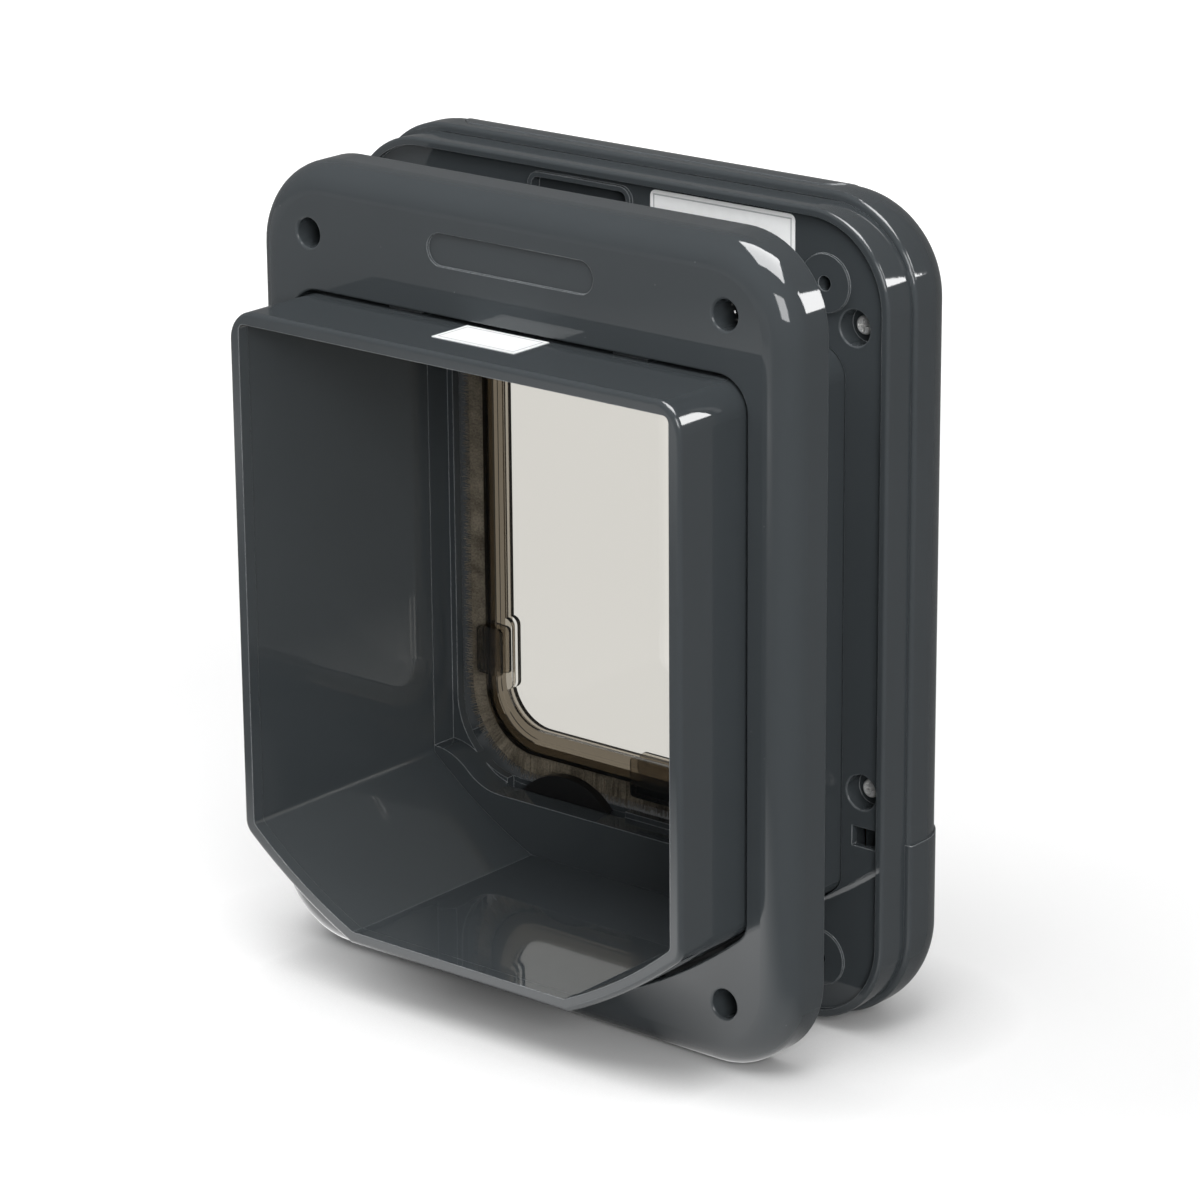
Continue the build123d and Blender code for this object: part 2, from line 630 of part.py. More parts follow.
# Room-side shell below the split, a little prouder, with its two hooks and the latch pad
with BuildPart() as lower_cover:
    add(cover_shell(LOWER_STEP))
    split(bisect_by=Plane.XY.offset(SPLIT_Z), keep=Keep.BOTTOM)
    hook_back = SEAM_Y - SHELL
    hook_half = WINDOW_W / 2 - SLEEVE_GAP
    for side in (-1, 1):
        with BuildSketch(across(SEAM_Y)):
            with Locations((side * (UNIT_HALF + WINDOW_X - hook_half) / 2, SPLIT_Z - WINDOW_H)):
                Rectangle(UNIT_HALF - WINDOW_X + hook_half, WINDOW_H)
        extrude(amount=-SHELL)
        with BuildSketch(across(hook_back)):
            with Locations((side * WINDOW_X, SPLIT_Z - WINDOW_H / 4)):
                Rectangle(2 * hook_half, 2.5 * WINDOW_H)
        extrude(amount=hook_back - SEAM_Y)
    with BuildSketch(Plane.XY.offset(SHELL / 2)):
        with Locations((LATCH_X, ROD_Y)):
            Rectangle(SOLENOID_W - SHELL, SOLENOID_D - SHELL)
    extrude(amount=SOLENOID_Z - SHELL / 2)
    with BuildSketch(across(WALL_Y)):
        with Locations((LOCK_X, LOCK_Z)):
            Circle(LOCK_SHAFT_D / 2 + LOCK_SHAFT_CLEAR)
    extrude(amount=-SHELL, mode=Mode.SUBTRACT)
lower_cover.part.label = "lower_cover"
export_step(lower_cover.part, "parts/lower_cover.step")

# Battery lid, cut from the room-side shell, with a round knuckle and two hinge pins at its lower edge
with BuildPart() as battery_lid:
    add(cover_shell(LID_STEP))
    add(lid_block(0), mode=Mode.INTERSECT)
    rear_edge = battery_lid.edges().filter_by(Axis.X).group_by(Axis.Z)[-1].sort_by(Axis.Y)[0]
    fillet(rear_edge, LID_REAR_EDGE)
    with BuildSketch(Plane.YZ.offset(-LID_HALF)):
        with Locations((LID_PIN_Y, LID_PIN_Z)):
            Circle(LID_KNUCKLE_R)
    extrude(amount=2 * LID_HALF)
    with BuildSketch(Plane.YZ.offset(-LID_HALF - LID_PIN_L)):
        with Locations((LID_PIN_Y, LID_PIN_Z)):
            Circle(LID_PIN_R)
    extrude(amount=2 * (LID_HALF + LID_PIN_L))
battery_lid.part.label = "battery_lid"
export_step(battery_lid.part, "parts/battery_lid.step")

# Sill and sleeve: front plate behind the tunnel, sleeve round the flap, lock bearing and slots
lock_chord = sqrt(LOCK_TOOTH_R**2 - (LEDGE_Z - SURROUND_WALL - LOCK_Z) ** 2)
with BuildPart() as flap_surround:
    with BuildSketch(across(SILL_Y)):
        add(duct_outline(0))
    extrude(amount=-SILL_WALL)
    with BuildSketch(across(SILL_Y)):
        add(passage_outline(SURROUND_WALL))
    extrude(amount=-SURROUND_L)
    with BuildSketch(across(SILL_Y)):
        with Locations((LOCK_X, LOCK_Z)):
            Circle(LOCK_BOSS_D / 2)
    extrude(amount=SILL_Y - LOCK_Y + LOCK_T / 2 + LATCH_CLEAR)
    with BuildSketch(across(SILL_Y)):
        add(passage_outline())
    extrude(amount=-SURROUND_L, mode=Mode.SUBTRACT)
    # lip that the brush closes against, round the sides and the bottom
    with BuildSketch(across(RIM_FRONT - STOP_AHEAD)):
        add(passage_outline(SURROUND_WALL / 2))
        add(flap_outline(BRUSH_OUT + STOP_GAP), mode=Mode.SUBTRACT)
        with Locations((0, PASSAGE_TOP)):
            Rectangle(2 * DUCT_HALF, 2 * (PASSAGE_TOP - HINGE_Z + STOP_TOP_GAP), mode=Mode.SUBTRACT)
    extrude(amount=-STOP_T)
    with BuildSketch(across(LOCK_Y - LOCK_T / 2 - LOCK_JOURNAL_L)):
        with Locations((LOCK_X, LOCK_Z)):
            Circle(LOCK_SHAFT_D / 2 + LOCK_SHAFT_CLEAR)
    extrude(amount=-LOCK_JOURNAL_L, mode=Mode.SUBTRACT)
    with BuildSketch(Plane.XY.offset(LEDGE_Z - 2 * SURROUND_WALL)):
        with Locations((LOCK_X, LOCK_Y)):
            Rectangle(2 * (lock_chord + LOCK_SLOT_CLEAR), LOCK_T + 2 * LOCK_SLOT_CLEAR)
        with Locations((LATCH_X, LATCH_Y + LATCH_T / 2)):
            Rectangle(LATCH_W + 2 * LATCH_CLEAR, LATCH_T + 2 * LATCH_CLEAR)
    extrude(amount=3 * SURROUND_WALL, mode=Mode.SUBTRACT)
    with BuildSketch(Plane.YZ.offset(-DUCT_HALF)):
        with Locations((FLAP_Y, HINGE_Z)):
            Circle(PIN_D / 2 + PIN_CLEAR)
    extrude(amount=2 * DUCT_HALF, mode=Mode.SUBTRACT)
flap_surround.part.label = "flap_surround"
export_step(flap_surround.part, "parts/flap_surround.step")

# Flap: thin clear web in a stepped rim, groove for the brush, hinge knuckles and a lug for the latch
with BuildPart() as flap_panel:
    with BuildSketch(across(FLAP_Y - FLAP_T / 2)):
        add(flap_outline(0))
    extrude(amount=-FLAP_T)
    with BuildSketch(across(RIM_FRONT + RIM_STEP)):
        add(flap_outline(0))
        add(flap_outline(-RIM_BAND), mode=Mode.SUBTRACT)
        with Locations((0, (CLEAR_TOP + FLAP_TOP) / 2)):
            Rectangle(2 * FLAP_HALF, FLAP_TOP - CLEAR_TOP)
    extrude(amount=2 * RIM_STEP - RIM_T)
    with BuildSketch(across(RIM_FRONT)):
        add(flap_outline(RIM_INNER_BAND - RIM_BAND))
        add(flap_outline(-RIM_BAND), mode=Mode.SUBTRACT)
        for side in (-1, 1):
            with Locations((side * (FLAP_HALF - RIM_BAND), CLIP_Z)):
                SlotOverall(RIM_BULGE_L, 2 * RIM_BULGE, rotation=90)
    extrude(amount=-RIM_T)
    with BuildSketch(Plane.YZ.offset(-KNUCKLE_END)):
        with Locations((FLAP_Y, HINGE_Z)):
            Circle(KNUCKLE_D / 2)
    extrude(amount=2 * KNUCKLE_END)
    with BuildSketch(across(FLAP_Y - GROOVE_T / 2)):
        add(flap_outline(GROOVE_D))
        add(flap_outline(-GROOVE_D), mode=Mode.SUBTRACT)
        with Locations((0, FLAP_TOP - BRUSH_TOP_GAP)):
            Rectangle(2 * PASSAGE_HALF, 2 * BRUSH_TOP_GAP, mode=Mode.SUBTRACT)
    extrude(amount=-GROOVE_T, mode=Mode.SUBTRACT)
    with BuildSketch(across(FLAP_Y + GROOVE_T / 2 + CLIP_FIT)):
        with Locations((LATCH_X, FLAP_BOTTOM)):
            Rectangle(LATCH_W, 2 * LUG_BELOW)
    extrude(amount=GROOVE_T / 2 + CLIP_FIT - RIM_T / 2)
    with BuildSketch(Plane.YZ.offset(-KNUCKLE_END)):
        with Locations((FLAP_Y, HINGE_Z)):
            Circle(PIN_D / 2)
    pin_hole = KNUCKLE_END - (PASSAGE_HALF + SURROUND_WALL - PIN_L)
    extrude(amount=pin_hole, mode=Mode.SUBTRACT)
    with BuildSketch(Plane.YZ.offset(KNUCKLE_END)):
        with Locations((FLAP_Y, HINGE_Z)):
            Circle(PIN_D / 2)
    extrude(amount=-pin_hole, mode=Mode.SUBTRACT)
flap_panel.part.label = "flap_panel"
export_step(flap_panel.part, "parts/flap_panel.step")

# Hinge pins, pressed into the flap and turning in the sleeve
pin_start = PASSAGE_HALF + SURROUND_WALL - PIN_L
with BuildPart() as hinge_pins:
    with BuildSketch(Plane.YZ.offset(pin_start)):
        with Locations((FLAP_Y, HINGE_Z)):
            Circle(PIN_D / 2)
    extrude(amount=PIN_L - LATCH_CLEAR)
    mirror(about=Plane.YZ)
hinge_pins.part.label = "hinge_pins"
export_step(hinge_pins.part, "parts/hinge_pins.step")

# Brush round the flap's sides and bottom, in four lengths between the clips
with BuildPart() as flap_brush:
    with BuildSketch(across(FLAP_Y - BRUSH_T / 2)):
        add(flap_outline(BRUSH_OUT))
        add(flap_outline(-GROOVE_D), mode=Mode.SUBTRACT)
        with Locations((0, FLAP_TOP - BRUSH_TOP_GAP)):
            Rectangle(2 * PASSAGE_HALF, 2 * BRUSH_TOP_GAP, mode=Mode.SUBTRACT)
        with Locations((0, CLIP_Z)):
            Rectangle(2 * PASSAGE_HALF, CLIP_L + 2 * CLIP_FIT, mode=Mode.SUBTRACT)
        with Locations((0, FLAP_BOTTOM)):
            Rectangle(FOOT_L + 2 * CLIP_FIT, 4 * BRUSH_OUT, mode=Mode.SUBTRACT)
    extrude(amount=-BRUSH_T)
flap_brush.part.label = "flap_brush"
export_step(flap_brush.part, "parts/flap_brush.step")

# Clips over the rim: one at each side and one at the bottom, which holds the magnet
CLIP_FRONT = RIM_FRONT - CLIP_FIT - CLIP_T
CLIP_DEPTH = RIM_T + 2 * (CLIP_FIT + CLIP_T)
CLIP_IN = RIM_BAND - CLIP_SHORT
foot_low = FLAP_BOTTOM - FOOT_BRIDGE
foot_high = FLAP_BOTTOM + RIM_BAND + FOOT_OVERHANG
with BuildPart() as flap_clips:
    with BuildSketch(across(CLIP_FRONT)):
        for side in (-1, 1):
            with Locations((side * (FLAP_HALF + (CLIP_FIT + CLIP_BRIDGE - CLIP_IN) / 2), CLIP_Z)):
                RectangleRounded(CLIP_IN + CLIP_FIT + CLIP_BRIDGE, CLIP_L, CLIP_CORNER)
        with Locations((0, (foot_low + foot_high) / 2)):
            RectangleRounded(FOOT_L, foot_high - foot_low, CLIP_CORNER)
    extrude(amount=-CLIP_DEPTH)
    with BuildSketch(across(RIM_FRONT - CLIP_FIT)):
        add(flap_outline(CLIP_FIT))
        with Locations((0, FLAP_BOTTOM - CLIP_FIT)):
            Rectangle(MAGNET_L, 2 * MAGNET_T)
    extrude(amount=-RIM_T - 2 * CLIP_FIT, mode=Mode.SUBTRACT)
flap_clips.part.label = "flap_clips"
export_step(flap_clips.part, "parts/flap_clips.step")

# Magnet in the bottom clip
with BuildPart() as flap_magnet:
    with BuildSketch(across(FLAP_Y - MAGNET_W / 2)):
        with Locations((0, FLAP_BOTTOM - CLIP_FIT - MAGNET_T / 2)):
            Rectangle(MAGNET_L, MAGNET_T)
    extrude(amount=-MAGNET_W)
flap_magnet.part.label = "flap_magnet"
export_step(flap_magnet.part, "parts/flap_magnet.step")

# Magnet under the sill that draws the flap to its middle
with BuildPart() as sill_magnet:
    with BuildSketch(across(FLAP_Y - MAGNET_W / 2)):
        with Locations((0, LEDGE_Z - SURROUND_WALL - SILL_MAGNET_T / 2)):
            Rectangle(MAGNET_L, SILL_MAGNET_T)
    extrude(amount=-MAGNET_W)
sill_magnet.part.label = "sill_magnet"
export_step(sill_magnet.part, "parts/sill_magnet.step")


def lock_sector(radius, middle, half):
    """Sector of a disc about the lock's axis; angles in degrees from straight up, clockwise."""
    start = (LOCK_X + radius * sin(radians(middle - half)), LOCK_Z + radius * cos(radians(middle - half)))
    crown = (LOCK_X + radius * sin(radians(middle)), LOCK_Z + radius * cos(radians(middle)))
    end = (LOCK_X + radius * sin(radians(middle + half)), LOCK_Z + radius * cos(radians(middle + half)))
    with BuildSketch() as outline:
        with BuildLine():
            Line((LOCK_X, LOCK_Z), start)
            ThreePointArc(start, crown, end)
            Line(end, (LOCK_X, LOCK_Z))
        make_face()
    return outline.sketch


# Rotary lock: low lobe under the flap, taller tooth to its side, journal and shaft to the knob
lock_front = LOCK_Y - LOCK_T / 2
KNOB_Y = ROOM_Y + KNOB_GAP
with BuildPart() as lock_rotor:
    with BuildSketch(across(lock_front)):
        add(lock_sector(LOCK_LOBE_R, 0, LOCK_LOBE_ANGLE))
        add(lock_sector(LOCK_TOOTH_R, LOCK_TOOTH_TURN_ANGLE, LOCK_TOOTH_ANGLE))
        with Locations((LOCK_X, LOCK_Z)):
            Circle(LOCK_HUB_D / 2)
    extrude(amount=-LOCK_T)
    with BuildSketch(across(lock_front - LOCK_JOURNAL_L + LATCH_CLEAR)):
        with Locations((LOCK_X, LOCK_Z)):
            Circle(LOCK_SHAFT_D / 2)
    extrude(amount=lock_front - LOCK_JOURNAL_L + LATCH_CLEAR - KNOB_Y - KNOB_H)
lock_rotor.part.label = "lock_rotor"
export_step(lock_rotor.part, "parts/lock_rotor.step")

# Knob of the lock on the room side, a dished disc with a wing grip
with BuildPart() as lock_knob:
    with BuildSketch(across(KNOB_Y)):
        with Locations((LOCK_X, LOCK_Z)):
            Circle(KNOB_D / 2)
    extrude(amount=-KNOB_H)
    fillet(lock_knob.faces().sort_by(Axis.Y)[-1].edges(), KNOB_H / 3)
    with BuildSketch(across(KNOB_Y)):
        with Locations((LOCK_X, LOCK_Z)):
            SlotOverall(KNOB_WING_L, KNOB_WING_W, rotation=90)
    extrude(amount=-KNOB_H - KNOB_WING_H)
    fillet(lock_knob.faces().sort_by(Axis.Y)[-1].edges(), KNOB_WING_W / 4)
    with BuildSketch(across(KNOB_Y)):
        with Locations((LOCK_X, LOCK_Z)):
            Circle(LOCK_SHAFT_D / 2)
    extrude(amount=-KNOB_H, mode=Mode.SUBTRACT)
lock_knob.part.label = "lock_knob"
export_step(lock_knob.part, "parts/lock_knob.step")

# Latch pawl: blade behind the flap, bridge and plunger rod
blade_top = LEDGE_Z - LATCH_SINK
with BuildPart() as latch_pawl:
    with BuildSketch(across(LATCH_Y)):
        with Locations((LATCH_X, (LATCH_BRIDGE_Z + blade_top) / 2)):
            Rectangle(LATCH_W, blade_top - LATCH_BRIDGE_Z)
    extrude(amount=-LATCH_T)
    with BuildSketch(Plane.XY.offset(LATCH_BRIDGE_Z)):
        with Locations((LATCH_X, (ROD_Y - LATCH_ROD_D / 2 + LATCH_Y + LATCH_T) / 2)):
            Rectangle(LATCH_W, LATCH_Y + LATCH_T - ROD_Y + LATCH_ROD_D / 2)
    extrude(amount=LATCH_BRIDGE_H)
    with BuildSketch(Plane.XY.offset(LATCH_ROD_FOOT)):
        with Locations((LATCH_X, ROD_Y)):
            Circle(LATCH_ROD_D / 2)
    extrude(amount=LATCH_BRIDGE_Z - LATCH_ROD_FOOT)
latch_pawl.part.label = "latch_pawl"
export_step(latch_pawl.part, "parts/latch_pawl.step")

# Solenoid that lifts the pawl
with BuildPart() as latch_solenoid:
    with BuildSketch(Plane.XY.offset(SOLENOID_Z)):
        with Locations((LATCH_X, ROD_Y)):
            Rectangle(SOLENOID_W, SOLENOID_D)
    extrude(amount=SOLENOID_H)
    with BuildSketch(Plane.XY.offset(LATCH_ROD_FOOT - LATCH_CLEAR)):
        with Locations((LATCH_X, ROD_Y)):
            Circle(LATCH_ROD_D / 2 + LATCH_ROD_CLEAR)
    extrude(amount=SOLENOID_H, mode=Mode.SUBTRACT)
latch_solenoid.part.label = "latch_solenoid"
export_step(latch_solenoid.part, "parts/latch_solenoid.step")

# Reader coil wound on the sleeve behind the sill's front plate
with BuildPart() as reader_coil:
    with BuildSketch(across(SILL_Y + SILL_WALL + COIL_GAP)):
        add(passage_outline(SURROUND_WALL + COIL_CLEAR + COIL_T))
        add(passage_outline(SURROUND_WALL + COIL_CLEAR), mode=Mode.SUBTRACT)
    extrude(amount=-COIL_D)
reader_coil.part.label = "reader_coil"
export_step(reader_coil.part, "parts/reader_coil.step")

# Battery box: open towards the lid, with feet on the housing's face
FEET = [(x, BOX_Z + z) for x in (FOOT_IN - BOX_HALF, BOX_HALF - FOOT_IN) for z in (FOOT_IN, BOX_H - FOOT_IN)]
with BuildPart() as battery_box:
    with BuildSketch(across(BOX_Y)):
        with Locations((0, BOX_Z + BOX_H / 2)):
            Rectangle(2 * BOX_HALF, BOX_H)
    extrude(amount=-BOX_D)
    with BuildSketch(across(BOX_Y + BOX_WALL)):
        with Locations((0, BOX_Z + BOX_H / 2)):
            Rectangle(2 * BOX_INNER_HALF, BOX_H - 2 * BOX_WALL)
    extrude(amount=BOX_WALL - BOX_D, mode=Mode.SUBTRACT)
    with BuildSketch(across(BOX_Y)):
        with Locations((0, BOX_Z + BOX_H / 2)):
            Rectangle(2 * BOX_INNER_HALF, CELL_PITCH - CELL_D - 2 * CELL_CLEAR)
    extrude(amount=-BOX_D / 2)
    with BuildSketch(across(FACE_Y + SHELL)):
        with Locations(*FEET):
            Circle(FOOT_D / 2)
    extrude(amount=-BOX_BACK_GAP)
battery_box.part.label = "battery_box"
export_step(battery_box.part, "parts/battery_box.step")

# Four cells, two in line in each row, the upper row turned round
with BuildPart() as batteries:
    for row, way in ((0, 1), (1, -1)):
        for start in (-CELL_ROW / 2, CELL_CLEAR / 2):
            base = start if way > 0 else -start
            foot = (base, CELL_Y, CELL_LOW_Z + row * CELL_PITCH)
            cell_plane = Plane(origin=foot, x_dir=(0, 1, 0), z_dir=(way, 0, 0))
            with BuildSketch(cell_plane):
                Circle(CELL_D / 2)
            extrude(amount=CELL_L)
            with BuildSketch(cell_plane.offset(CELL_L)):
                Circle(NUB_D / 2)
            extrude(amount=NUB_H)
batteries.part.label = "batteries"
export_step(batteries.part, "parts/batteries.step")

# Contacts at the box's ends: plate and tapered spring at each minus end, plate and stud at each plus end
with BuildPart() as battery_contacts:
    for row, way in ((0, 1), (1, -1)):
        for end in (-1, 1):
            plate = Plane(
                origin=(end * BOX_INNER_HALF, CELL_Y, CELL_LOW_Z + row * CELL_PITCH),
                x_dir=(0, 1, 0),
                z_dir=(-end, 0, 0),
            )
            tip = CONTACT_W / 4 if end == way else CONTACT_W / 2.5
            with BuildSketch(plate):
                Rectangle(CONTACT_W, CONTACT_W)
            extrude(amount=CONTACT_T)
            with BuildSketch(plate.offset(CONTACT_T)):
                Circle(tip)
            with BuildSketch(plate.offset(CONTACT_T + CELL_END_GAP)):
                Circle(tip / 1.5)
            loft()
battery_contacts.part.label = "battery_contacts"
export_step(battery_contacts.part, "parts/battery_contacts.step")

# Main board on stand-offs behind the housing's face, and what is soldered to it
BOARD_Y = FACE_Y + SHELL + BOARD_STAND
BOARD_Z = DUCT_TOP + SLEEVE_GAP + SLEEVE_WALL + BOARD_H / 2 + BOARD_STAND
with BuildPart() as circuit_board:
    with BuildSketch(across(BOARD_Y)):
        with Locations((0, BOARD_Z)):
            RectangleRounded(BOARD_W, BOARD_H, BOARD_T)
    extrude(amount=-BOARD_T)
    with BuildSketch(across(FACE_Y + SHELL)):
        with Locations((0, BOARD_Z)):
            with GridLocations(BOARD_W - FOOT_D, BOARD_H - FOOT_D, 2, 2):
                Circle(FOOT_D / 4)
    extrude(amount=-BOARD_STAND)
circuit_board.part.label = "circuit_board"
export_step(circuit_board.part, "parts/circuit_board.step")

with BuildPart() as board_parts:
    with BuildSketch(across(BOARD_Y + BOARD_T)):
        with Locations((0, BOARD_Z)):
            with GridLocations(BOARD_W / 4, 0, 3, 1):
                Rectangle(BOARD_H / 2, BOARD_H / 2)
    extrude(amount=-BOARD_T / 2)
board_parts.part.label = "board_parts"
export_step(board_parts.part, "parts/board_parts.step")

# Small board behind the button, with its switch and lamp
with BuildPart() as button_board:
    with BuildSketch(across(BUTTON_BOARD_Y)):
        with Locations((BUTTON_BOARD_X, BUTTON_BOARD_Z)):
            Rectangle(BUTTON_BOARD_W, BUTTON_BOARD_H)
    extrude(amount=-BOARD_T)
    with BuildSketch(across(BUTTON_BOARD_Y + BOARD_T)):
        with Locations((BUTTON_X, BUTTON_Z)):
            Rectangle(SWITCH_W, SWITCH_W)
    extrude(amount=-SWITCH_H)
    with BuildSketch(across(BUTTON_BOARD_Y + BOARD_T)):
        with Locations((LENS_X, LENS_Z)):
            Circle(LENS_D / 2)
    extrude(amount=-SWITCH_H / 2)
button_board.part.label = "button_board"
export_step(button_board.part, "parts/button_board.step")

# Learn button: cap through the cover, flange behind it and stem to the switch
flange_end = WALL_Y - BUTTON_CLEAR
stem_start = BUTTON_BOARD_Y + BOARD_T + SWITCH_H + BUTTON_TRAVEL + BUTTON_CLEAR
with BuildPart() as learn_button:
    with BuildSketch(across(stem_start)):
        with Locations((BUTTON_X, BUTTON_Z)):
            Circle(BUTTON_STEM_D / 2)
    extrude(amount=stem_start - flange_end)
    with BuildSketch(across(flange_end - BUTTON_FLANGE_T)):
        with Locations((BUTTON_X, BUTTON_Z)):
            Circle(BUTTON_D / 2 + BUTTON_FLANGE)
    extrude(amount=-BUTTON_FLANGE_T)
    with BuildSketch(across(flange_end)):
        with Locations((BUTTON_X, BUTTON_Z)):
            Circle(BUTTON_D / 2)
    extrude(amount=flange_end - ROOM_Y - BUTTON_PROUD)
    fillet(learn_button.faces().sort_by(Axis.Y)[-1].edges(), BUTTON_PROUD / 2)
learn_button.part.label = "learn_button"
export_step(learn_button.part, "parts/learn_button.step")

# Light pipe from the lamp to the room side
lens_start = BUTTON_BOARD_Y + BOARD_T + SWITCH_H / 2
with BuildPart() as status_lens:
    with BuildSketch(across(lens_start)):
        with Locations((LENS_X, LENS_Z)):
            Circle(LENS_D / 2)
    extrude(amount=lens_start - ROOM_Y)
status_lens.part.label = "status_lens"
export_step(status_lens.part, "parts/status_lens.step")

# Case screws in the housing's counterbores, with cross recesses
with BuildPart() as case_screws:
    with BuildSketch(across(CASE_SEAT_Y - SCREW_HEAD_H)):
        with Locations(*CASE_POINTS):
            Circle(SCREW_HEAD_D / 2)
    extrude(amount=-SCREW_HEAD_H)
    head_rims = case_screws.faces().group_by(Axis.Y)[0].edges()
    fillet(head_rims, SCREW_HEAD_H / 2)
    with BuildSketch(across(CASE_SEAT_Y)):
        with Locations(*CASE_POINTS):
            Circle(SCREW_D / 2)
    extrude(amount=CASE_SEAT_Y - SEAM_Y - SCREW_L)
    with BuildSketch(across(CASE_SEAT_Y - SCREW_HEAD_H)):
        with Locations(*CASE_POINTS):
            Rectangle(SCREW_CROSS_L, SCREW_CROSS_W)
            Rectangle(SCREW_CROSS_W, SCREW_CROSS_L)
    extrude(amount=-SCREW_CROSS_D, mode=Mode.SUBTRACT)
case_screws.part.label = "case_screws"
export_step(case_screws.part, "parts/case_screws.step")

# Label on the tunnel's top, up to the frame
with BuildPart() as tunnel_label:
    with BuildSketch(Plane.XY.offset(DUCT_TOP)):
        with Locations((TUNNEL_LABEL_X, FRAME_Y - TUNNEL_LABEL_L / 2)):
            Rectangle(TUNNEL_LABEL_W, TUNNEL_LABEL_L)
    extrude(amount=LABEL_T)
tunnel_label.part.label = "tunnel_label"
export_step(tunnel_label.part, "parts/tunnel_label.step")

# Label on the housing's face
with BuildPart() as rating_label:
    with BuildSketch(across(FACE_Y - LABEL_T)):
        with Locations((RATING_LABEL_X, UNIT_TOP - RATING_LABEL_DROP - RATING_LABEL_H / 2)):
            RectangleRounded(RATING_LABEL_W, RATING_LABEL_H, RATING_LABEL_CORNER)
    extrude(amount=-LABEL_T)
rating_label.part.label = "rating_label"
export_step(rating_label.part, "parts/rating_label.step")
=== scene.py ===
import json
from math import cos, radians, sin

import bmesh
import bpy
from mathutils import Matrix, Vector


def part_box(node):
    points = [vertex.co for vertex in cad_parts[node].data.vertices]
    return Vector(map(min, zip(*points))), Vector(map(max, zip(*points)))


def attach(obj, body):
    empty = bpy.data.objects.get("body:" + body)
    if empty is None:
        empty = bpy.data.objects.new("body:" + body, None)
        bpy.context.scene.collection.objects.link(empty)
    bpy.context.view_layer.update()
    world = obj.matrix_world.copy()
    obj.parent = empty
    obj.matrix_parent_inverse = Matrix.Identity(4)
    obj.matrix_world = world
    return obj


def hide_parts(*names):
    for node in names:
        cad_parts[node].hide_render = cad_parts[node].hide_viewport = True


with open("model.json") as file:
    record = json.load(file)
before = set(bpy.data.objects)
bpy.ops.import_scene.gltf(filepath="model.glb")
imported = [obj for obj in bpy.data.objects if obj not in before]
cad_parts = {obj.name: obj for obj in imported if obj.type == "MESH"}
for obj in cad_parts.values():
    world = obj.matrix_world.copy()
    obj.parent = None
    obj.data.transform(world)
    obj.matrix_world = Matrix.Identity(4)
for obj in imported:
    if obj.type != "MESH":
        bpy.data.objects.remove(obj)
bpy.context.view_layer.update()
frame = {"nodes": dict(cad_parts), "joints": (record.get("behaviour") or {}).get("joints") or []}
nodes = frame["nodes"]

MM = 0.001
X, Y, Z = range(3)


def in_mm(metres):
    """A length of the frame in millimetres, to a thousandth."""
    return round(metres / MM, 3)


flap_hinge = next(joint["pos_m"] for joint in frame["joints"] if joint["name"] == "flap_swing")
brush_low, brush_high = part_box("flap_brush")

# View of the photograph: place in metres, turns in degrees, lens and sensor in millimetres
CAMERA_AT = (0.82505, -0.98207, 0.53465)
CAMERA_AZIMUTH = 39.78
CAMERA_ELEVATION = 18.05
CAMERA_ROLL = 0.44
CAMERA_LENS = 140.78
SENSOR = 36.0

# Edges of the mouldings: rounding in millimetres, and a painted highlight, a pale line painted into the
# colour of a polished edge, which starts and is full at these cosines of the turn between the rounded and
# the flat face
EDGE_ROUND = 0.4
EDGE_SAMPLES = 2
PAINTED_HIGHLIGHT_START = 0.99
PAINTED_HIGHLIGHT_FULL = 0.8
PAINTED_HIGHLIGHT_TINT = (0.6, 0.63, 0.65, 1)

# Skin of the mouldings: patterns in waves a metre, and specks of dust as shares of their cells
FLOW_SCALE = 16.0
RUB_SCALE = 75.0
PEEL_SCALE = 700.0
DUST_SCALE = 210.0
DUST_LARGEST = 0.055
DUST_RARITY = 0.72
DUST_TINT = (0.55, 0.55, 0.54, 1)

# Flap, in millimetres: its outline, which the frame's brush stands out from, its rim and its head
BRUSH_OUT = 6.0
FLAP_HALF = in_mm(brush_high[X]) - BRUSH_OUT
FLAP_BOTTOM = in_mm(brush_low[Z]) + BRUSH_OUT
FLAP_CORNER = 19.0
FLAP_Y = in_mm(flap_hinge[Y])
HINGE_Z = in_mm(flap_hinge[Z])
RIM_BAND = 8.5
RIM_MARGIN = 0.05
HEAD_BAND = 6.0
CLEAR_TOP = HINGE_Z - HEAD_BAND
FOOT_TINT = (0.03, 0.03, 0.03, 1)
CLEAR_IOR = 1.49

# Brush round the flap, in millimetres, with roots and edges as distances out from the flap's outline;
# a bristle's lean is in radians, and its least growth is a share of its length
BRUSH_TOP_GAP = 3.5
BRUSH_TOP = HINGE_Z - BRUSH_TOP_GAP
BEND_STEPS = 10
TAPE_ROOT = -0.5
TAPE_EDGE = 6.6
TAPE_T = 0.8
BRISTLE_ROOT = -0.2
BRISTLE_L = 9.4
BRISTLE_ROWS = (-0.5, -0.17, 0.17, 0.5)
BRISTLE_SPACING = 0.34
BRISTLE_ROOT_R = 0.13
BRISTLE_TIP_R = 0.05
BRISTLE_SIDES = 3
BRISTLE_LEAN = 0.12
BRISTLE_SHORTEST = 0.82
BRISTLE_SEED = 4
BRISTLE_SHADES = ((0.3, (0.04, 0.033, 0.022, 1)), (0.65, (0.26, 0.225, 0.17, 1)))

# Border line of a label, in millimetres: its distance from the edge and half its width
LINE_INSET = 1.3
LINE_HALF = 0.2
LINE_TINT = (0.42, 0.43, 0.44, 1)

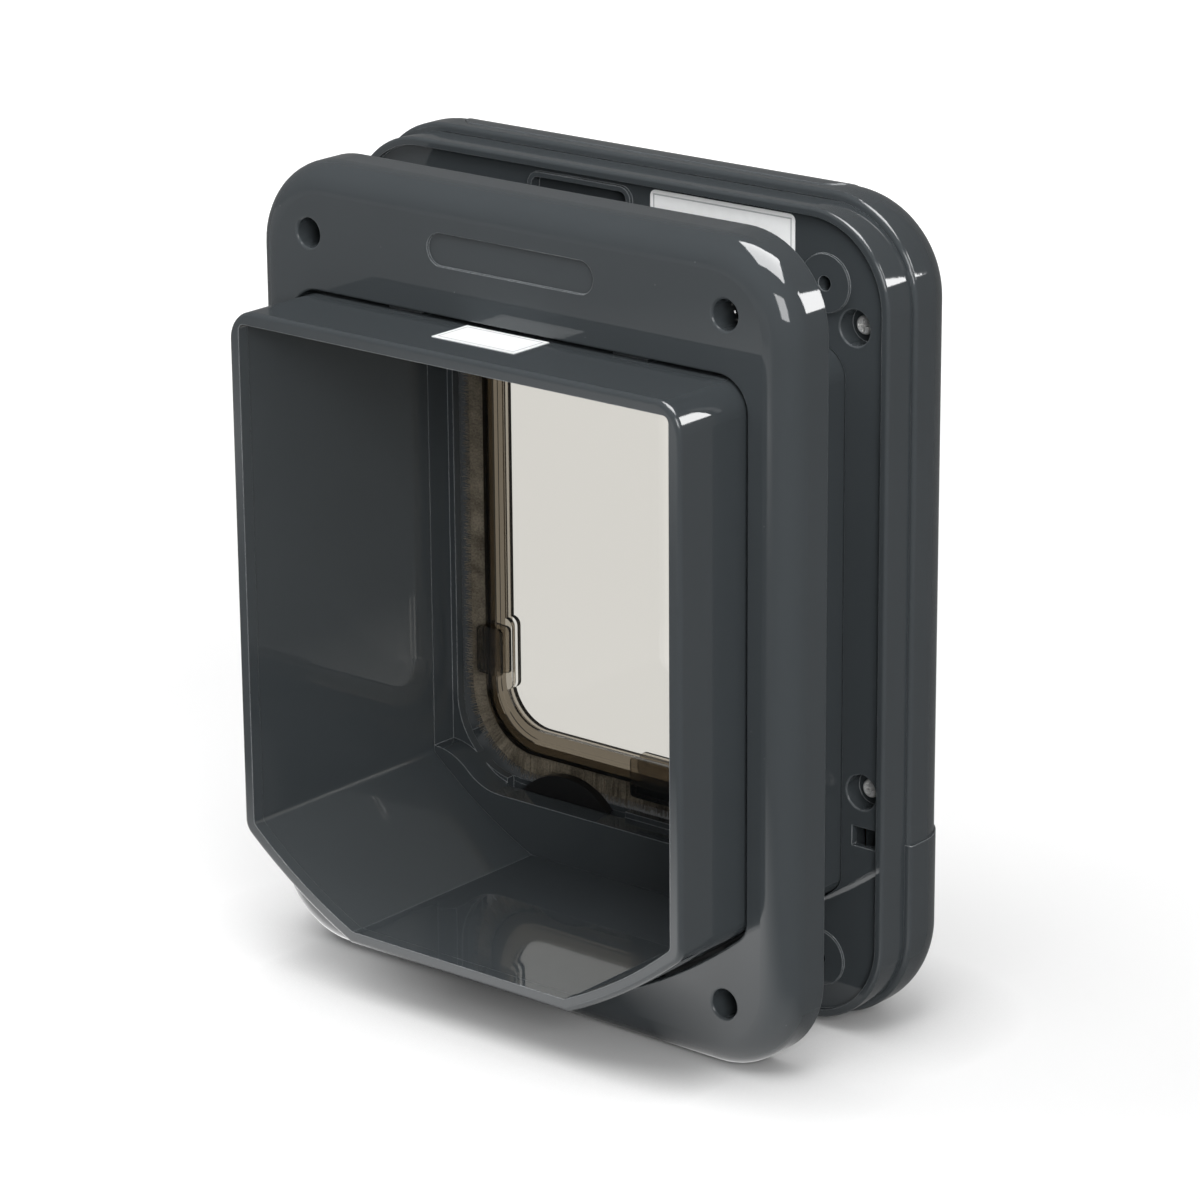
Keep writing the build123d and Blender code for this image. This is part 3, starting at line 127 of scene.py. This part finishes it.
# Floor, in metres: its half size, its colour, the lift that makes it white to the eye, near and far,
# and the shade where the part stands close to it
FLOOR_REACH = 8.0
FLOOR_TINT = (0.46, 0.46, 0.46, 1)
LIFT_NEAR = 0.47
LIFT_FAR = 0.9
LIFT_NEAR_AT = 0.3
LIFT_FAR_AT = 1.2
CONTACT_REACH = 0.035
CONTACT_DEPTH = 1.3
CONTACT_SAMPLES = 8

# Floor as mirrors and glass show it: rings of painted light as (distance from the origin, brightness), in
# front of the part and on its left, the dim first rings being painted shade under the tunnel, and one dim
# level elsewhere
FLOOR_RINGS = (
    (0.0, 0.1),
    (0.055, 0.1),
    (0.08, 2.2),
    (0.14, 2.2),
    (0.28, 0.25),
    (0.5, 0.3),
    (0.68, 0.9),
    (0.85, 0.35),
)
FLOOR_DIM = 0.2
DIM_RIGHT_AT = 0.16
LIT_FRONT_AT = -0.03
BEHIND_GLASS = 0.95

# World: its plain light, its brightness in mirrors, and the top of the backdrop behind glass as a sine
WORLD_LEVEL = 0.18
WORLD_MIRROR = 0.19
BACKDROP_TOP = 0.5
WHITE = (1, 1, 1, 1)

# Points that the lamps are turned to, in metres: the part's middle, its upper half and its top corner
PART_MIDDLE = (0, 0, 0.12)
PART_UPPER = (0, 0, 0.2)
PART_CORNER = (0.097, -0.02, 0.218)


def fill(tree, made, inputs):
    """Links or sets the inputs of a node, by name or number."""
    for name, value in inputs.items():
        if isinstance(value, bpy.types.NodeSocket):
            tree.links.new(value, made.inputs[name])
        else:
            made.inputs[name].default_value = value


def node(tree, kind, inputs=None, **settings):
    """Adds a node, sets its properties, and fills its inputs."""
    made = tree.nodes.new(kind)
    for name, value in settings.items():
        setattr(made, name, value)
    fill(tree, made, inputs or {})
    return made


def math(tree, operation, first, second=0.0):
    """Adds a Math node and gives its output."""
    return node(tree, "ShaderNodeMath", {0: first, 1: second}, operation=operation).outputs[0]


def swing(tree, pattern, amount):
    """A pattern of 0 to 1 as a change about zero, as wide as the amount."""
    return math(tree, "MULTIPLY", math(tree, "SUBTRACT", pattern, 0.5), amount)


def raised(tree, pattern, amount, start):
    """A pattern of 0 to 1 times an amount, above a start."""
    return math(tree, "ADD", math(tree, "MULTIPLY", pattern, amount), start)


def graded(tree, value, start, end, low=0.0, high=1.0):
    """Goes from low to high as the value goes from start to end, and stays there beyond them."""
    span = {"Value": value, "From Min": start, "From Max": end, "To Min": low, "To Max": high}
    return node(tree, "ShaderNodeMapRange", span).outputs[0]


def noise(tree, place, scale, detail):
    """Adds a noise pattern and gives its value."""
    return node(tree, "ShaderNodeTexNoise", {"Vector": place, "Scale": scale, "Detail": detail}).outputs[0]


def mix(tree, share, first, second):
    """Adds a mix of two colours and gives its colour."""
    return node(tree, "ShaderNodeMix", {0: share, 6: first, 7: second}, data_type="RGBA").outputs[2]


def distance(tree, vector):
    """Length of a vector."""
    return node(tree, "ShaderNodeVectorMath", {0: vector}, operation="LENGTH").outputs["Value"]


def shade_ramp(tree, value, marks):
    """Adds a colour ramp with marks of (place, colour) and gives its colour."""
    made = node(tree, "ShaderNodeValToRGB", {0: value})
    elements = made.color_ramp.elements
    for element, (at, shade) in zip(elements, marks):
        element.position = at
        element.color = shade
    for at, shade in marks[len(elements):]:
        elements.new(at).color = shade
    return made.outputs[0]


def new_group(name, kind, inputs, outputs):
    """Makes a node group with named sockets; each input is (name, socket type, default)."""
    tree = bpy.data.node_groups.new(name, kind)
    for label, socket, default in inputs:
        made = tree.interface.new_socket(label, in_out="INPUT", socket_type=socket)
        if default is not None:
            made.default_value = default
    for label, socket in outputs:
        tree.interface.new_socket(label, in_out="OUTPUT", socket_type=socket)
    return tree, tree.nodes.new("NodeGroupInput"), tree.nodes.new("NodeGroupOutput")


def moulded_skin_group():
    """Skin of a moulded plastic: slow changes of tint and gloss, fine orange peel, and stray dust."""
    tree, given, result = new_group(
        "moulded_skin",
        "ShaderNodeTree",
        [
            ("Position", "NodeSocketVector", None),
            ("Tint", "NodeSocketColor", (0.5, 0.5, 0.5, 1)),
            ("Mottle", "NodeSocketFloat", 0.1),
            ("Gloss", "NodeSocketFloat", 0.2),
            ("Gloss spread", "NodeSocketFloat", 0.05),
            ("Peel size", "NodeSocketFloat", PEEL_SCALE),
            ("Dust", "NodeSocketFloat", 0.1),
        ],
        [("Tint", "NodeSocketColor"), ("Roughness", "NodeSocketFloat"), ("Height", "NodeSocketFloat")],
    )
    place = given.outputs["Position"]
    flow = noise(tree, place, FLOW_SCALE, detail=3.0)
    rub = noise(tree, place, RUB_SCALE, detail=4.0)
    peel = noise(tree, place, given.outputs["Peel size"], detail=1.0)
    cells = node(tree, "ShaderNodeTexVoronoi", {"Vector": place, "Scale": DUST_SCALE})
    chance = node(tree, "ShaderNodeSeparateColor", {0: cells.outputs["Color"]})
    speck_size = math(tree, "MULTIPLY", chance.outputs[1], DUST_LARGEST)
    in_speck = math(tree, "LESS_THAN", cells.outputs["Distance"], speck_size)
    kept = math(tree, "GREATER_THAN", chance.outputs[0], DUST_RARITY)
    dust = math(tree, "MULTIPLY", math(tree, "MULTIPLY", in_speck, kept), given.outputs["Dust"])
    lift = math(tree, "ADD", swing(tree, flow, given.outputs["Mottle"]), 1.0)
    shaded = node(
        tree, "ShaderNodeVectorMath", {0: given.outputs["Tint"], 3: lift}, operation="SCALE"
    ).outputs[0]
    gloss = math(tree, "ADD", given.outputs["Gloss"], swing(tree, rub, given.outputs["Gloss spread"]))
    fill(
        tree,
        result,
        {
            "Tint": mix(tree, dust, shaded, DUST_TINT),
            "Roughness": math(tree, "ADD", gloss, dust),
            "Height": peel,
        },
    )
    return tree


def rim_smoke_group():
    """Smoke of the flap's moulding: pale in the window, brown in the rim, black in the foot below it."""
    tree, given, result = new_group(
        "rim_smoke",
        "ShaderNodeTree",
        [
            ("Position", "NodeSocketVector", None),
            ("Window", "NodeSocketColor", (0.9, 0.9, 0.88, 1)),
            ("Rim", "NodeSocketColor", (0.3, 0.24, 0.17, 1)),
            ("Foot", "NodeSocketColor", FOOT_TINT),
        ],
        [("Tint", "NodeSocketColor")],
    )
    parts = node(tree, "ShaderNodeSeparateXYZ", {0: given.outputs["Position"]})
    height = parts.outputs[Z]
    bend = (FLAP_CORNER - RIM_BAND / 2) * MM
    reach = (FLAP_HALF - RIM_BAND) * MM - bend
    floor = (FLAP_BOTTOM + RIM_BAND) * MM + bend
    past_reach = math(tree, "SUBTRACT", math(tree, "ABSOLUTE", parts.outputs[X]), reach)
    aside = math(tree, "MAXIMUM", past_reach, 0.0)
    below = math(tree, "MAXIMUM", math(tree, "SUBTRACT", floor, height), 0.0)
    out = node(tree, "ShaderNodeCombineXYZ", {0: aside, 1: below})
    beyond = math(tree, "GREATER_THAN", distance(tree, out.outputs[0]), bend - RIM_MARGIN * MM)
    head = math(tree, "GREATER_THAN", height, CLEAR_TOP * MM)
    in_rim = math(tree, "MAXIMUM", beyond, head)
    in_foot = math(tree, "LESS_THAN", height, FLAP_BOTTOM * MM)
    rimmed = mix(tree, in_rim, given.outputs["Window"], given.outputs["Rim"])
    fill(tree, result, {"Tint": mix(tree, in_foot, rimmed, given.outputs["Foot"])})
    return tree


moulded_skin = moulded_skin_group()
rim_smoke = rim_smoke_group()


def blank_material(name):
    """New node material with its shader and the object's own coordinates."""
    made = bpy.data.materials.new(name)
    made.use_nodes = True
    tree = made.node_tree
    shader = tree.nodes["Principled BSDF"]
    place = node(tree, "ShaderNodeTexCoord").outputs["Object"]
    return made, tree, shader, place


def moulded(
    name,
    tint,
    gloss,
    mottle=0.12,
    spread=0.05,
    peel_depth=0.012,
    dust=0.1,
    ior=1.5,
    painted_highlight=0.0,
):
    """Moulded plastic, from the shared skin with its own values; a polished edge gets a painted highlight,
    a pale line in its colour.
    """
    made, tree, shader, place = blank_material(name)
    skin = node(
        tree,
        "ShaderNodeGroup",
        {
            "Position": place,
            "Tint": (*tint, 1),
            "Mottle": mottle,
            "Gloss": gloss,
            "Gloss spread": spread,
            "Peel size": PEEL_SCALE,
            "Dust": dust,
        },
        node_tree=moulded_skin,
    )
    rounded = node(
        tree, "ShaderNodeBevel", {"Radius": EDGE_ROUND * MM}, samples=EDGE_SAMPLES
    ).outputs[0]
    bump = node(
        tree,
        "ShaderNodeBump",
        {"Strength": peel_depth, "Distance": MM, "Height": skin.outputs["Height"], "Normal": rounded},
    )
    flat = node(tree, "ShaderNodeNewGeometry").outputs["Normal"]
    along = node(
        tree, "ShaderNodeVectorMath", {0: rounded, 1: flat}, operation="DOT_PRODUCT"
    ).outputs["Value"]
    # Painted highlight: the colour turns pale where the rounded normal leaves the flat one, as if the edge
    # caught light
    edge = graded(tree, along, PAINTED_HIGHLIGHT_START, PAINTED_HIGHLIGHT_FULL, high=painted_highlight)
    fill(
        tree,
        shader,
        {
            "Base Color": mix(tree, edge, skin.outputs["Tint"], PAINTED_HIGHLIGHT_TINT),
            "Roughness": skin.outputs["Roughness"],
            "Normal": bump.outputs[0],
            "IOR": ior,
        },
    )
    return made


def plated(name, tint, rough, spread, scale, shade=0.8, metal=1.0):
    """Plated metal with a fine uneven sheen, darker by its shade; a dull plating is less of a mirror."""
    made, tree, shader, place = blank_material(name)
    sheen = noise(tree, place, scale, detail=4.0)
    dark = tuple(shade * value for value in tint)
    fill(
        tree,
        shader,
        {
            "Base Color": mix(tree, sheen, (*dark, 1), (*tint, 1)),
            "Roughness": math(tree, "ADD", swing(tree, sheen, spread), rough),
            "Metallic": metal,
        },
    )
    return made


def smoked(name, window, rim):
    """Smoked clear plastic of the flap and its clips."""
    made, tree, shader, place = blank_material(name)
    smoke = node(
        tree,
        "ShaderNodeGroup",
        {"Position": place, "Window": (*window, 1), "Rim": (*rim, 1)},
        node_tree=rim_smoke,
    )
    haze = noise(tree, place, scale=60.0, detail=4.0)
    fill(
        tree,
        shader,
        {
            "Base Color": smoke.outputs["Tint"],
            "Roughness": raised(tree, haze, amount=0.03, start=0.01),
            "IOR": CLEAR_IOR,
            "Transmission Weight": 1.0,
        },
    )
    return made


def light_pipe():
    """Clear, slightly frosted plastic of the lamp's lens."""
    made, tree, shader, place = blank_material("light_pipe")
    frost = noise(tree, place, scale=900.0, detail=2.0)
    fill(
        tree,
        shader,
        {
            "Base Color": (0.85, 0.9, 0.86, 1),
            "Roughness": raised(tree, frost, amount=0.2, start=0.12),
            "Transmission Weight": 0.8,
        },
    )
    return made


def bristle_pile():
    """Brown bristles, each length a little different in tone."""
    made, tree, shader, place = blank_material("bristle_pile")
    streak = noise(tree, place, scale=1500.0, detail=2.0)
    clump = noise(tree, place, scale=160.0, detail=2.0)
    tone = math(tree, "MULTIPLY", math(tree, "ADD", streak, clump), 0.5)
    fill(tree, shader, {"Base Color": shade_ramp(tree, tone, BRISTLE_SHADES), "Roughness": 0.6})
    return made


def label_film(label, up):
    """White film of a label, bare but for a thin grey border line; up is its second axis, after X."""
    made, tree, shader, place = blank_material(label + "_film")
    parts = node(tree, "ShaderNodeSeparateXYZ", {0: place})
    low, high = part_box(label)
    to_edge = []
    for axis in (X, up):
        off = math(tree, "SUBTRACT", parts.outputs[axis], (low[axis] + high[axis]) / 2)
        half = (high[axis] - low[axis]) / 2
        to_edge.append(math(tree, "SUBTRACT", half, math(tree, "ABSOLUTE", off)))
    edge = math(tree, "MINIMUM", *to_edge)
    line = node(
        tree, "ShaderNodeMath", {0: edge, 1: LINE_INSET * MM, 2: LINE_HALF * MM}, operation="COMPARE"
    ).outputs[0]
    fibre = noise(tree, place, scale=420.0, detail=3.0)
    film = mix(tree, fibre, (0.8, 0.81, 0.81, 1), (0.88, 0.89, 0.89, 1))
    fill(
        tree,
        shader,
        {
            "Base Color": mix(tree, line, film, LINE_TINT),
            "Roughness": raised(tree, fibre, amount=0.2, start=0.3),
        },
    )
    return made


def solder_mask():
    """Green board lacquer over buried tracks."""
    made, tree, shader, place = blank_material("solder_mask")
    tracks = node(
        tree,
        "ShaderNodeTexBrick",
        {
            "Vector": place,
            "Scale": 90.0,
            "Color1": (0.015, 0.13, 0.05, 1),
            "Color2": (0.02, 0.16, 0.06, 1),
            "Mortar": (0.05, 0.24, 0.1, 1),
        },
    )
    fill(tree, shader, {"Base Color": tracks.outputs["Color"], "Roughness": 0.35})
    return made


def coil_wire():
    """Turns of enamelled wire, as fine bands along the coil's depth."""
    made, tree, shader, place = blank_material("coil_wire")
    turned = node(tree, "ShaderNodeTexWave", {"Vector": place, "Scale": 420.0}, bands_direction="Y")
    tone = mix(tree, turned.outputs["Fac"], (0.3, 0.11, 0.04, 1), (0.66, 0.31, 0.14, 1))
    fill(tree, shader, {"Base Color": tone, "Metallic": 0.8, "Roughness": 0.35})
    return made


anthracite_gloss = moulded(
    "anthracite_gloss",
    tint=(0.0415, 0.0475, 0.0515),
    gloss=0.028,
    spread=0.015,
    peel_depth=0.002,
    ior=1.55,
    painted_highlight=0.65,
)
black_satin = moulded("black_satin", tint=(0.008, 0.008, 0.008), gloss=0.3, mottle=0.2, dust=0.05)
cell_sleeve = moulded("cell_sleeve", tint=(0.12, 0.12, 0.13), gloss=0.25, mottle=0.3, dust=0.0)
flap_smoke = smoked("flap_smoke", window=(0.76, 0.74, 0.69), rim=(0.17, 0.143, 0.105))
clip_smoke = smoked("clip_smoke", window=(0.6, 0.57, 0.52), rim=(0.5, 0.46, 0.4))
bright_zinc = plated(
    "bright_zinc", tint=(0.86, 0.86, 0.85), rough=0.25, spread=0.2, scale=700.0, metal=0.4
)
nickel = plated("nickel", tint=(0.6, 0.58, 0.54), rough=0.25, spread=0.15, scale=500.0)
pile = bristle_pile()

COVERS = ("rear_housing", "inner_cover", "lower_cover", "battery_lid")
FINISHES = (
    (anthracite_gloss, ("outer_frame", "tunnel", *COVERS, "flap_surround")),
    (black_satin, ("lock_rotor", "lock_knob", "latch_pawl", "battery_box", "learn_button", "board_parts")),
    (flap_smoke, ("flap_panel",)),
    (clip_smoke, ("flap_clips",)),
    (pile, ("flap_brush",)),
    (bright_zinc, ("hinge_pins", "case_screws", "battery_contacts", "latch_solenoid")),
    (nickel, ("flap_magnet", "sill_magnet")),
    (solder_mask(), ("circuit_board", "button_board")),
    (coil_wire(), ("reader_coil",)),
    (cell_sleeve, ("batteries",)),
    (light_pipe(), ("status_lens",)),
    (label_film("tunnel_label", Y), ("tunnel_label",)),
    (label_film("rating_label", Z), ("rating_label",)),
)

for finish, members in FINISHES:
    for member in members:
        nodes[member].data.materials.clear()
        nodes[member].data.materials.append(finish)


def brush_line(out):
    """Line down one side of the flap, under it and up the other, as (x, z), at a distance out from it."""
    half = FLAP_HALF + out
    low = FLAP_BOTTOM - out
    corner = FLAP_CORNER + out
    turn = [radians(90 * i / BEND_STEPS) for i in range(BEND_STEPS + 1)]
    bend = [(half - corner * (1 - cos(a)), low + corner * (1 - sin(a))) for a in turn]
    right = [(half, BRUSH_TOP)] + bend
    left = [(-x, z) for x, z in reversed(right)]
    return right + left


def bristle_tree():
    """Geometry Nodes tree that sets rows of thin bristles along its curves, standing out from the flap."""
    lengths = ("Spacing", "Length", "Root radius", "Tip radius", "Lean", "Shortest")
    tree, given, result = new_group(
        "bristle_rows",
        "GeometryNodeTree",
        [
            ("Rows", "NodeSocketGeometry", None),
            *((label, "NodeSocketFloat", None) for label in lengths),
            ("Seed", "NodeSocketInt", None),
            ("Pile", "NodeSocketMaterial", None),
        ],
        [("Bristles", "NodeSocketGeometry")],
    )
    dots = node(
        tree,
        "GeometryNodeResampleCurve",
        {"Curve": given.outputs["Rows"], "Length": given.outputs["Spacing"]},
        mode="LENGTH",
    )
    along = node(tree, "GeometryNodeInputTangent").outputs[0]
    outward = node(
        tree, "ShaderNodeVectorMath", {0: along, 1: (0, 1, 0)}, operation="CROSS_PRODUCT"
    ).outputs[0]
    facing = node(tree, "FunctionNodeAlignRotationToVector", {"Vector": outward}, axis="Z").outputs[0]
    lean = given.outputs["Lean"]
    back = math(tree, "MULTIPLY", lean, -1.0)
    seed = given.outputs["Seed"]
    tilt = node(
        tree, "FunctionNodeRandomValue", {0: back, 1: lean, "Seed": seed}, data_type="FLOAT_VECTOR"
    ).outputs[0]
    tilted = node(
        tree, "FunctionNodeRotateRotation", {0: facing, 1: tilt}, rotation_space="LOCAL"
    ).outputs[0]
    grown = node(
        tree,
        "FunctionNodeRandomValue",
        {2: given.outputs["Shortest"], 3: 1.0, "Seed": seed},
        data_type="FLOAT",
    ).outputs[1]
    cone = node(
        tree,
        "GeometryNodeMeshCone",
        {
            "Vertices": BRISTLE_SIDES,
            "Side Segments": 1,
            "Radius Bottom": given.outputs["Root radius"],
            "Radius Top": given.outputs["Tip radius"],
            "Depth": given.outputs["Length"],
        },
    ).outputs[0]
    set_out = node(
        tree,
        "GeometryNodeInstanceOnPoints",
        {"Points": dots.outputs[0], "Instance": cone, "Rotation": tilted, "Scale": grown},
    ).outputs[0]
    real = node(tree, "GeometryNodeRealizeInstances", {0: set_out}).outputs[0]
    dressed = node(tree, "GeometryNodeSetMaterial", {0: real, "Material": given.outputs["Pile"]})
    fill(tree, result, {0: dressed.outputs[0]})
    return tree


def settle(tree, carrier, name, values):
    """Runs a Geometry Nodes tree on a carrier and keeps the result as a plain mesh object."""
    grower = carrier.modifiers.new("grow", "NODES")
    grower.node_group = tree
    for item in tree.interface.items_tree:
        if item.in_out == "INPUT" and item.name in values:
            grower[item.identifier] = values[item.name]
    ready = carrier.evaluated_get(bpy.context.evaluated_depsgraph_get())
    mesh = bpy.data.meshes.new_from_object(ready)
    mesh.name = name
    bpy.data.objects.remove(carrier)
    made = bpy.data.objects.new(name, mesh)
    bpy.context.scene.collection.objects.link(made)
    return made


def grow_bristles():
    """Bristles of the brush: four rows round the flap, gripped by the clips."""
    lines = bpy.data.curves.new("brush_lines", "CURVE")
    lines.dimensions = "3D"
    run = brush_line(BRISTLE_ROOT)
    for row in BRISTLE_ROWS:
        spline = lines.splines.new("POLY")
        spline.points.add(len(run) - 1)
        for point, (x, z) in zip(spline.points, run):
            point.co = (x * MM, (FLAP_Y + row) * MM, z * MM, 1)
    carrier = bpy.data.objects.new("brush_lines", lines)
    bpy.context.scene.collection.objects.link(carrier)
    values = {
        "Spacing": BRISTLE_SPACING * MM,
        "Length": BRISTLE_L * MM,
        "Root radius": BRISTLE_ROOT_R * MM,
        "Tip radius": BRISTLE_TIP_R * MM,
        "Lean": BRISTLE_LEAN,
        "Shortest": BRISTLE_SHORTEST,
        "Seed": BRISTLE_SEED,
        "Pile": pile,
    }
    return settle(bristle_tree(), carrier, "brush_bristles", values)


def weave_tape():
    """Tape that the bristles are sewn to, gripped at the flap's edge."""
    points = []
    faces = []
    for (x0, z0), (x1, z1) in zip(brush_line(TAPE_ROOT), brush_line(TAPE_EDGE)):
        for side in (-TAPE_T / 2, TAPE_T / 2):
            points.append((x0 * MM, (FLAP_Y + side) * MM, z0 * MM))
            points.append((x1 * MM, (FLAP_Y + side) * MM, z1 * MM))
    last = len(points) - 4
    for a in range(0, last, 4):
        b = a + 4
        for first, second in ((0, 1), (1, 3), (3, 2), (2, 0)):
            faces.append((a + first, a + second, b + second, b + first))
    faces.append((0, 2, 3, 1))
    faces.append((last, last + 1, last + 3, last + 2))
    mesh = bpy.data.meshes.new("brush_tape")
    mesh.from_pydata(points, [], faces)
    mesh.materials.append(pile)
    shaped = bmesh.new()
    shaped.from_mesh(mesh)
    bmesh.ops.recalc_face_normals(shaped, faces=shaped.faces)
    shaped.to_mesh(mesh)
    shaped.free()
    made = bpy.data.objects.new("brush_tape", mesh)
    bpy.context.scene.collection.objects.link(made)
    return made


bristles = grow_bristles()
tape = weave_tape()
for piece in (bristles, tape):
    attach(piece, "flap")
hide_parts("flap_brush")


def floor_paper():
    """Pale paper, lifted to white for the eye but not where the part stands close, which paints shade
    there;
    mirrors and glass see pools of painted light in front of the part on its left, painted shade right
    under it, and a dim floor elsewhere."""
    made, tree, shader, place = blank_material("floor_paper")
    tree.nodes.remove(shader)
    path = node(tree, "ShaderNodeLightPath")
    parts = node(tree, "ShaderNodeSeparateXYZ", {0: place})
    away = distance(tree, place)
    far = graded(tree, away, LIFT_NEAR_AT, LIFT_FAR_AT, LIFT_NEAR, LIFT_FAR)
    open_to_air = node(
        tree, "ShaderNodeAmbientOcclusion", {"Distance": CONTACT_REACH}, samples=CONTACT_SAMPLES
    ).outputs["AO"]
    # Painted shade: the lift fades where the part stands close, so the floor darkens there
    lift = math(tree, "MULTIPLY", far, math(tree, "POWER", open_to_air, CONTACT_DEPTH))
    paper = node(tree, "ShaderNodeBsdfDiffuse", {"Color": FLOOR_TINT}).outputs[0]
    glow = node(tree, "ShaderNodeEmission", {"Strength": lift}).outputs[0]
    lifted = node(tree, "ShaderNodeAddShader", {0: paper, 1: glow}).outputs[0]
    seen = node(
        tree, "ShaderNodeMixShader", {0: path.outputs["Is Camera Ray"], 1: paper, 2: lifted}
    ).outputs[0]
    # Painted light for mirrors: bright pools near the part, with painted shade under the tunnel at the
    # middle
    rings = [(at, (bright, bright, bright, 1)) for at, bright in FLOOR_RINGS]
    pools = shade_ramp(tree, away, rings)
    front = graded(tree, parts.outputs[Y], 0.0, LIT_FRONT_AT)
    left = math(tree, "SUBTRACT", 1.0, graded(tree, parts.outputs[X], 0.0, DIM_RIGHT_AT))
    lit = math(tree, "MULTIPLY", front, left)
    level = node(
        tree, "ShaderNodeMix", {"Factor": lit, "A": FLOOR_DIM, "B": pools}, data_type="FLOAT"
    ).outputs[0]
    through = path.outputs["Is Transmission Ray"]
    behind = math(tree, "MULTIPLY", math(tree, "MULTIPLY", through, left), BEHIND_GLASS)
    shown = math(tree, "MAXIMUM", level, behind)
    mirrored = node(tree, "ShaderNodeEmission", {"Strength": shown}).outputs[0]
    bent = math(tree, "MAXIMUM", path.outputs["Is Glossy Ray"], through)
    both = node(tree, "ShaderNodeMixShader", {0: bent, 1: seen, 2: mirrored}).outputs[0]
    fill(tree, tree.nodes["Material Output"], {"Surface": both})
    return made


def lay_floor():
    """Flat floor under the part."""
    reach = FLOOR_REACH
    corners = [(-reach, -reach, 0), (reach, -reach, 0), (reach, reach, 0), (-reach, reach, 0)]
    mesh = bpy.data.meshes.new("floor")
    mesh.from_pydata(corners, [], [(0, 1, 2, 3)])
    mesh.materials.append(floor_paper())
    floor = bpy.data.objects.new("floor", mesh)
    bpy.context.scene.collection.objects.link(floor)


def light_world():
    """Even studio light; white to the eye, dim in mirrors, and a low bright backdrop through glass."""
    world = bpy.data.worlds.new("studio")
    bpy.context.scene.world = world
    world.use_nodes = True
    tree = world.node_tree
    path = node(tree, "ShaderNodeLightPath")
    way = node(tree, "ShaderNodeTexCoord").outputs["Generated"]
    rise = node(tree, "ShaderNodeSeparateXYZ", {0: way}).outputs[Z]
    low = math(tree, "LESS_THAN", rise, BACKDROP_TOP)
    through = path.outputs["Is Transmission Ray"]
    bright = math(tree, "MAXIMUM", path.outputs["Is Camera Ray"], math(tree, "MULTIPLY", through, low))
    bent = math(tree, "MAXIMUM", path.outputs["Is Glossy Ray"], through)
    dim = raised(tree, bent, WORLD_MIRROR - WORLD_LEVEL, WORLD_LEVEL)
    level = math(tree, "MAXIMUM", bright, dim)
    fill(tree, tree.nodes["Background"], {"Color": WHITE, "Strength": level})


def hang_lamp(name, at, size, watts, aim=PART_MIDDLE, lights=True, mirrored=True):
    """Soft box at a place, turned to its aim; it lights the part, shows in mirrors, or both."""
    data = bpy.data.lights.new(name, "AREA")
    data.shape = "RECTANGLE"
    data.size, data.size_y = size
    data.energy = watts
    lamp = bpy.data.objects.new(name, data)
    lamp.location = at
    lamp.rotation_euler = (Vector(aim) - Vector(at)).to_track_quat("-Z", "Y").to_euler()
    lamp.visible_diffuse = lights
    lamp.visible_glossy = mirrored
    lamp.visible_transmission = False
    bpy.context.scene.collection.objects.link(lamp)


def set_camera():
    """Camera at the photograph's place."""
    data = bpy.data.cameras.new("camera")
    data.sensor_width = SENSOR
    data.lens = CAMERA_LENS
    camera = bpy.data.objects.new("camera", data)
    az = radians(CAMERA_AZIMUTH)
    el = radians(CAMERA_ELEVATION)
    roll = radians(CAMERA_ROLL)
    side = Vector((cos(az), sin(az), 0))
    up = Vector((-sin(az) * sin(el), cos(az) * sin(el), cos(el)))
    back = Vector((sin(az) * cos(el), -cos(az) * cos(el), sin(el)))
    right = side * cos(roll) - up * sin(roll)
    top = side * sin(roll) + up * cos(roll)
    turn = Matrix((right, top, back)).transposed().to_4x4()
    camera.matrix_world = Matrix.Translation(CAMERA_AT) @ turn
    bpy.context.scene.collection.objects.link(camera)
    bpy.context.scene.camera = camera


lay_floor()
light_world()

# Lamps that light the part and stay out of its mirror reflections
hang_lamp("key_box", at=(-1.15, -0.5, 1.3), size=(0.9, 0.9), watts=14.0, mirrored=False)
hang_lamp("fill_box", at=(1.48, -1.12, 0.78), size=(0.8, 0.8), watts=28.0, mirrored=False)
hang_lamp("top_box", at=(0.2, -0.45, 1.38), size=(0.8, 0.8), watts=14.0, mirrored=False)
hang_lamp("back_box", at=(-0.5, 1.3, 1.0), size=(0.8, 0.8), watts=5.0, mirrored=False)

# Lamps that show only as highlights in the polished mouldings
hang_lamp("gloss_box", at=(0.3, 0.28, 1.4), size=(1.1, 1.0), watts=40.0, aim=PART_UPPER, lights=False)
hang_lamp("strip_box", at=(0.4, 0.345, 0.373), size=(0.1, 0.18), watts=0.7, aim=PART_CORNER, lights=False)
hang_lamp("edge_box", at=(1.5, -1.0, 0.9), size=(0.8, 0.8), watts=15.0, lights=False)

set_camera()
bpy.context.scene.view_settings.view_transform = "Standard"
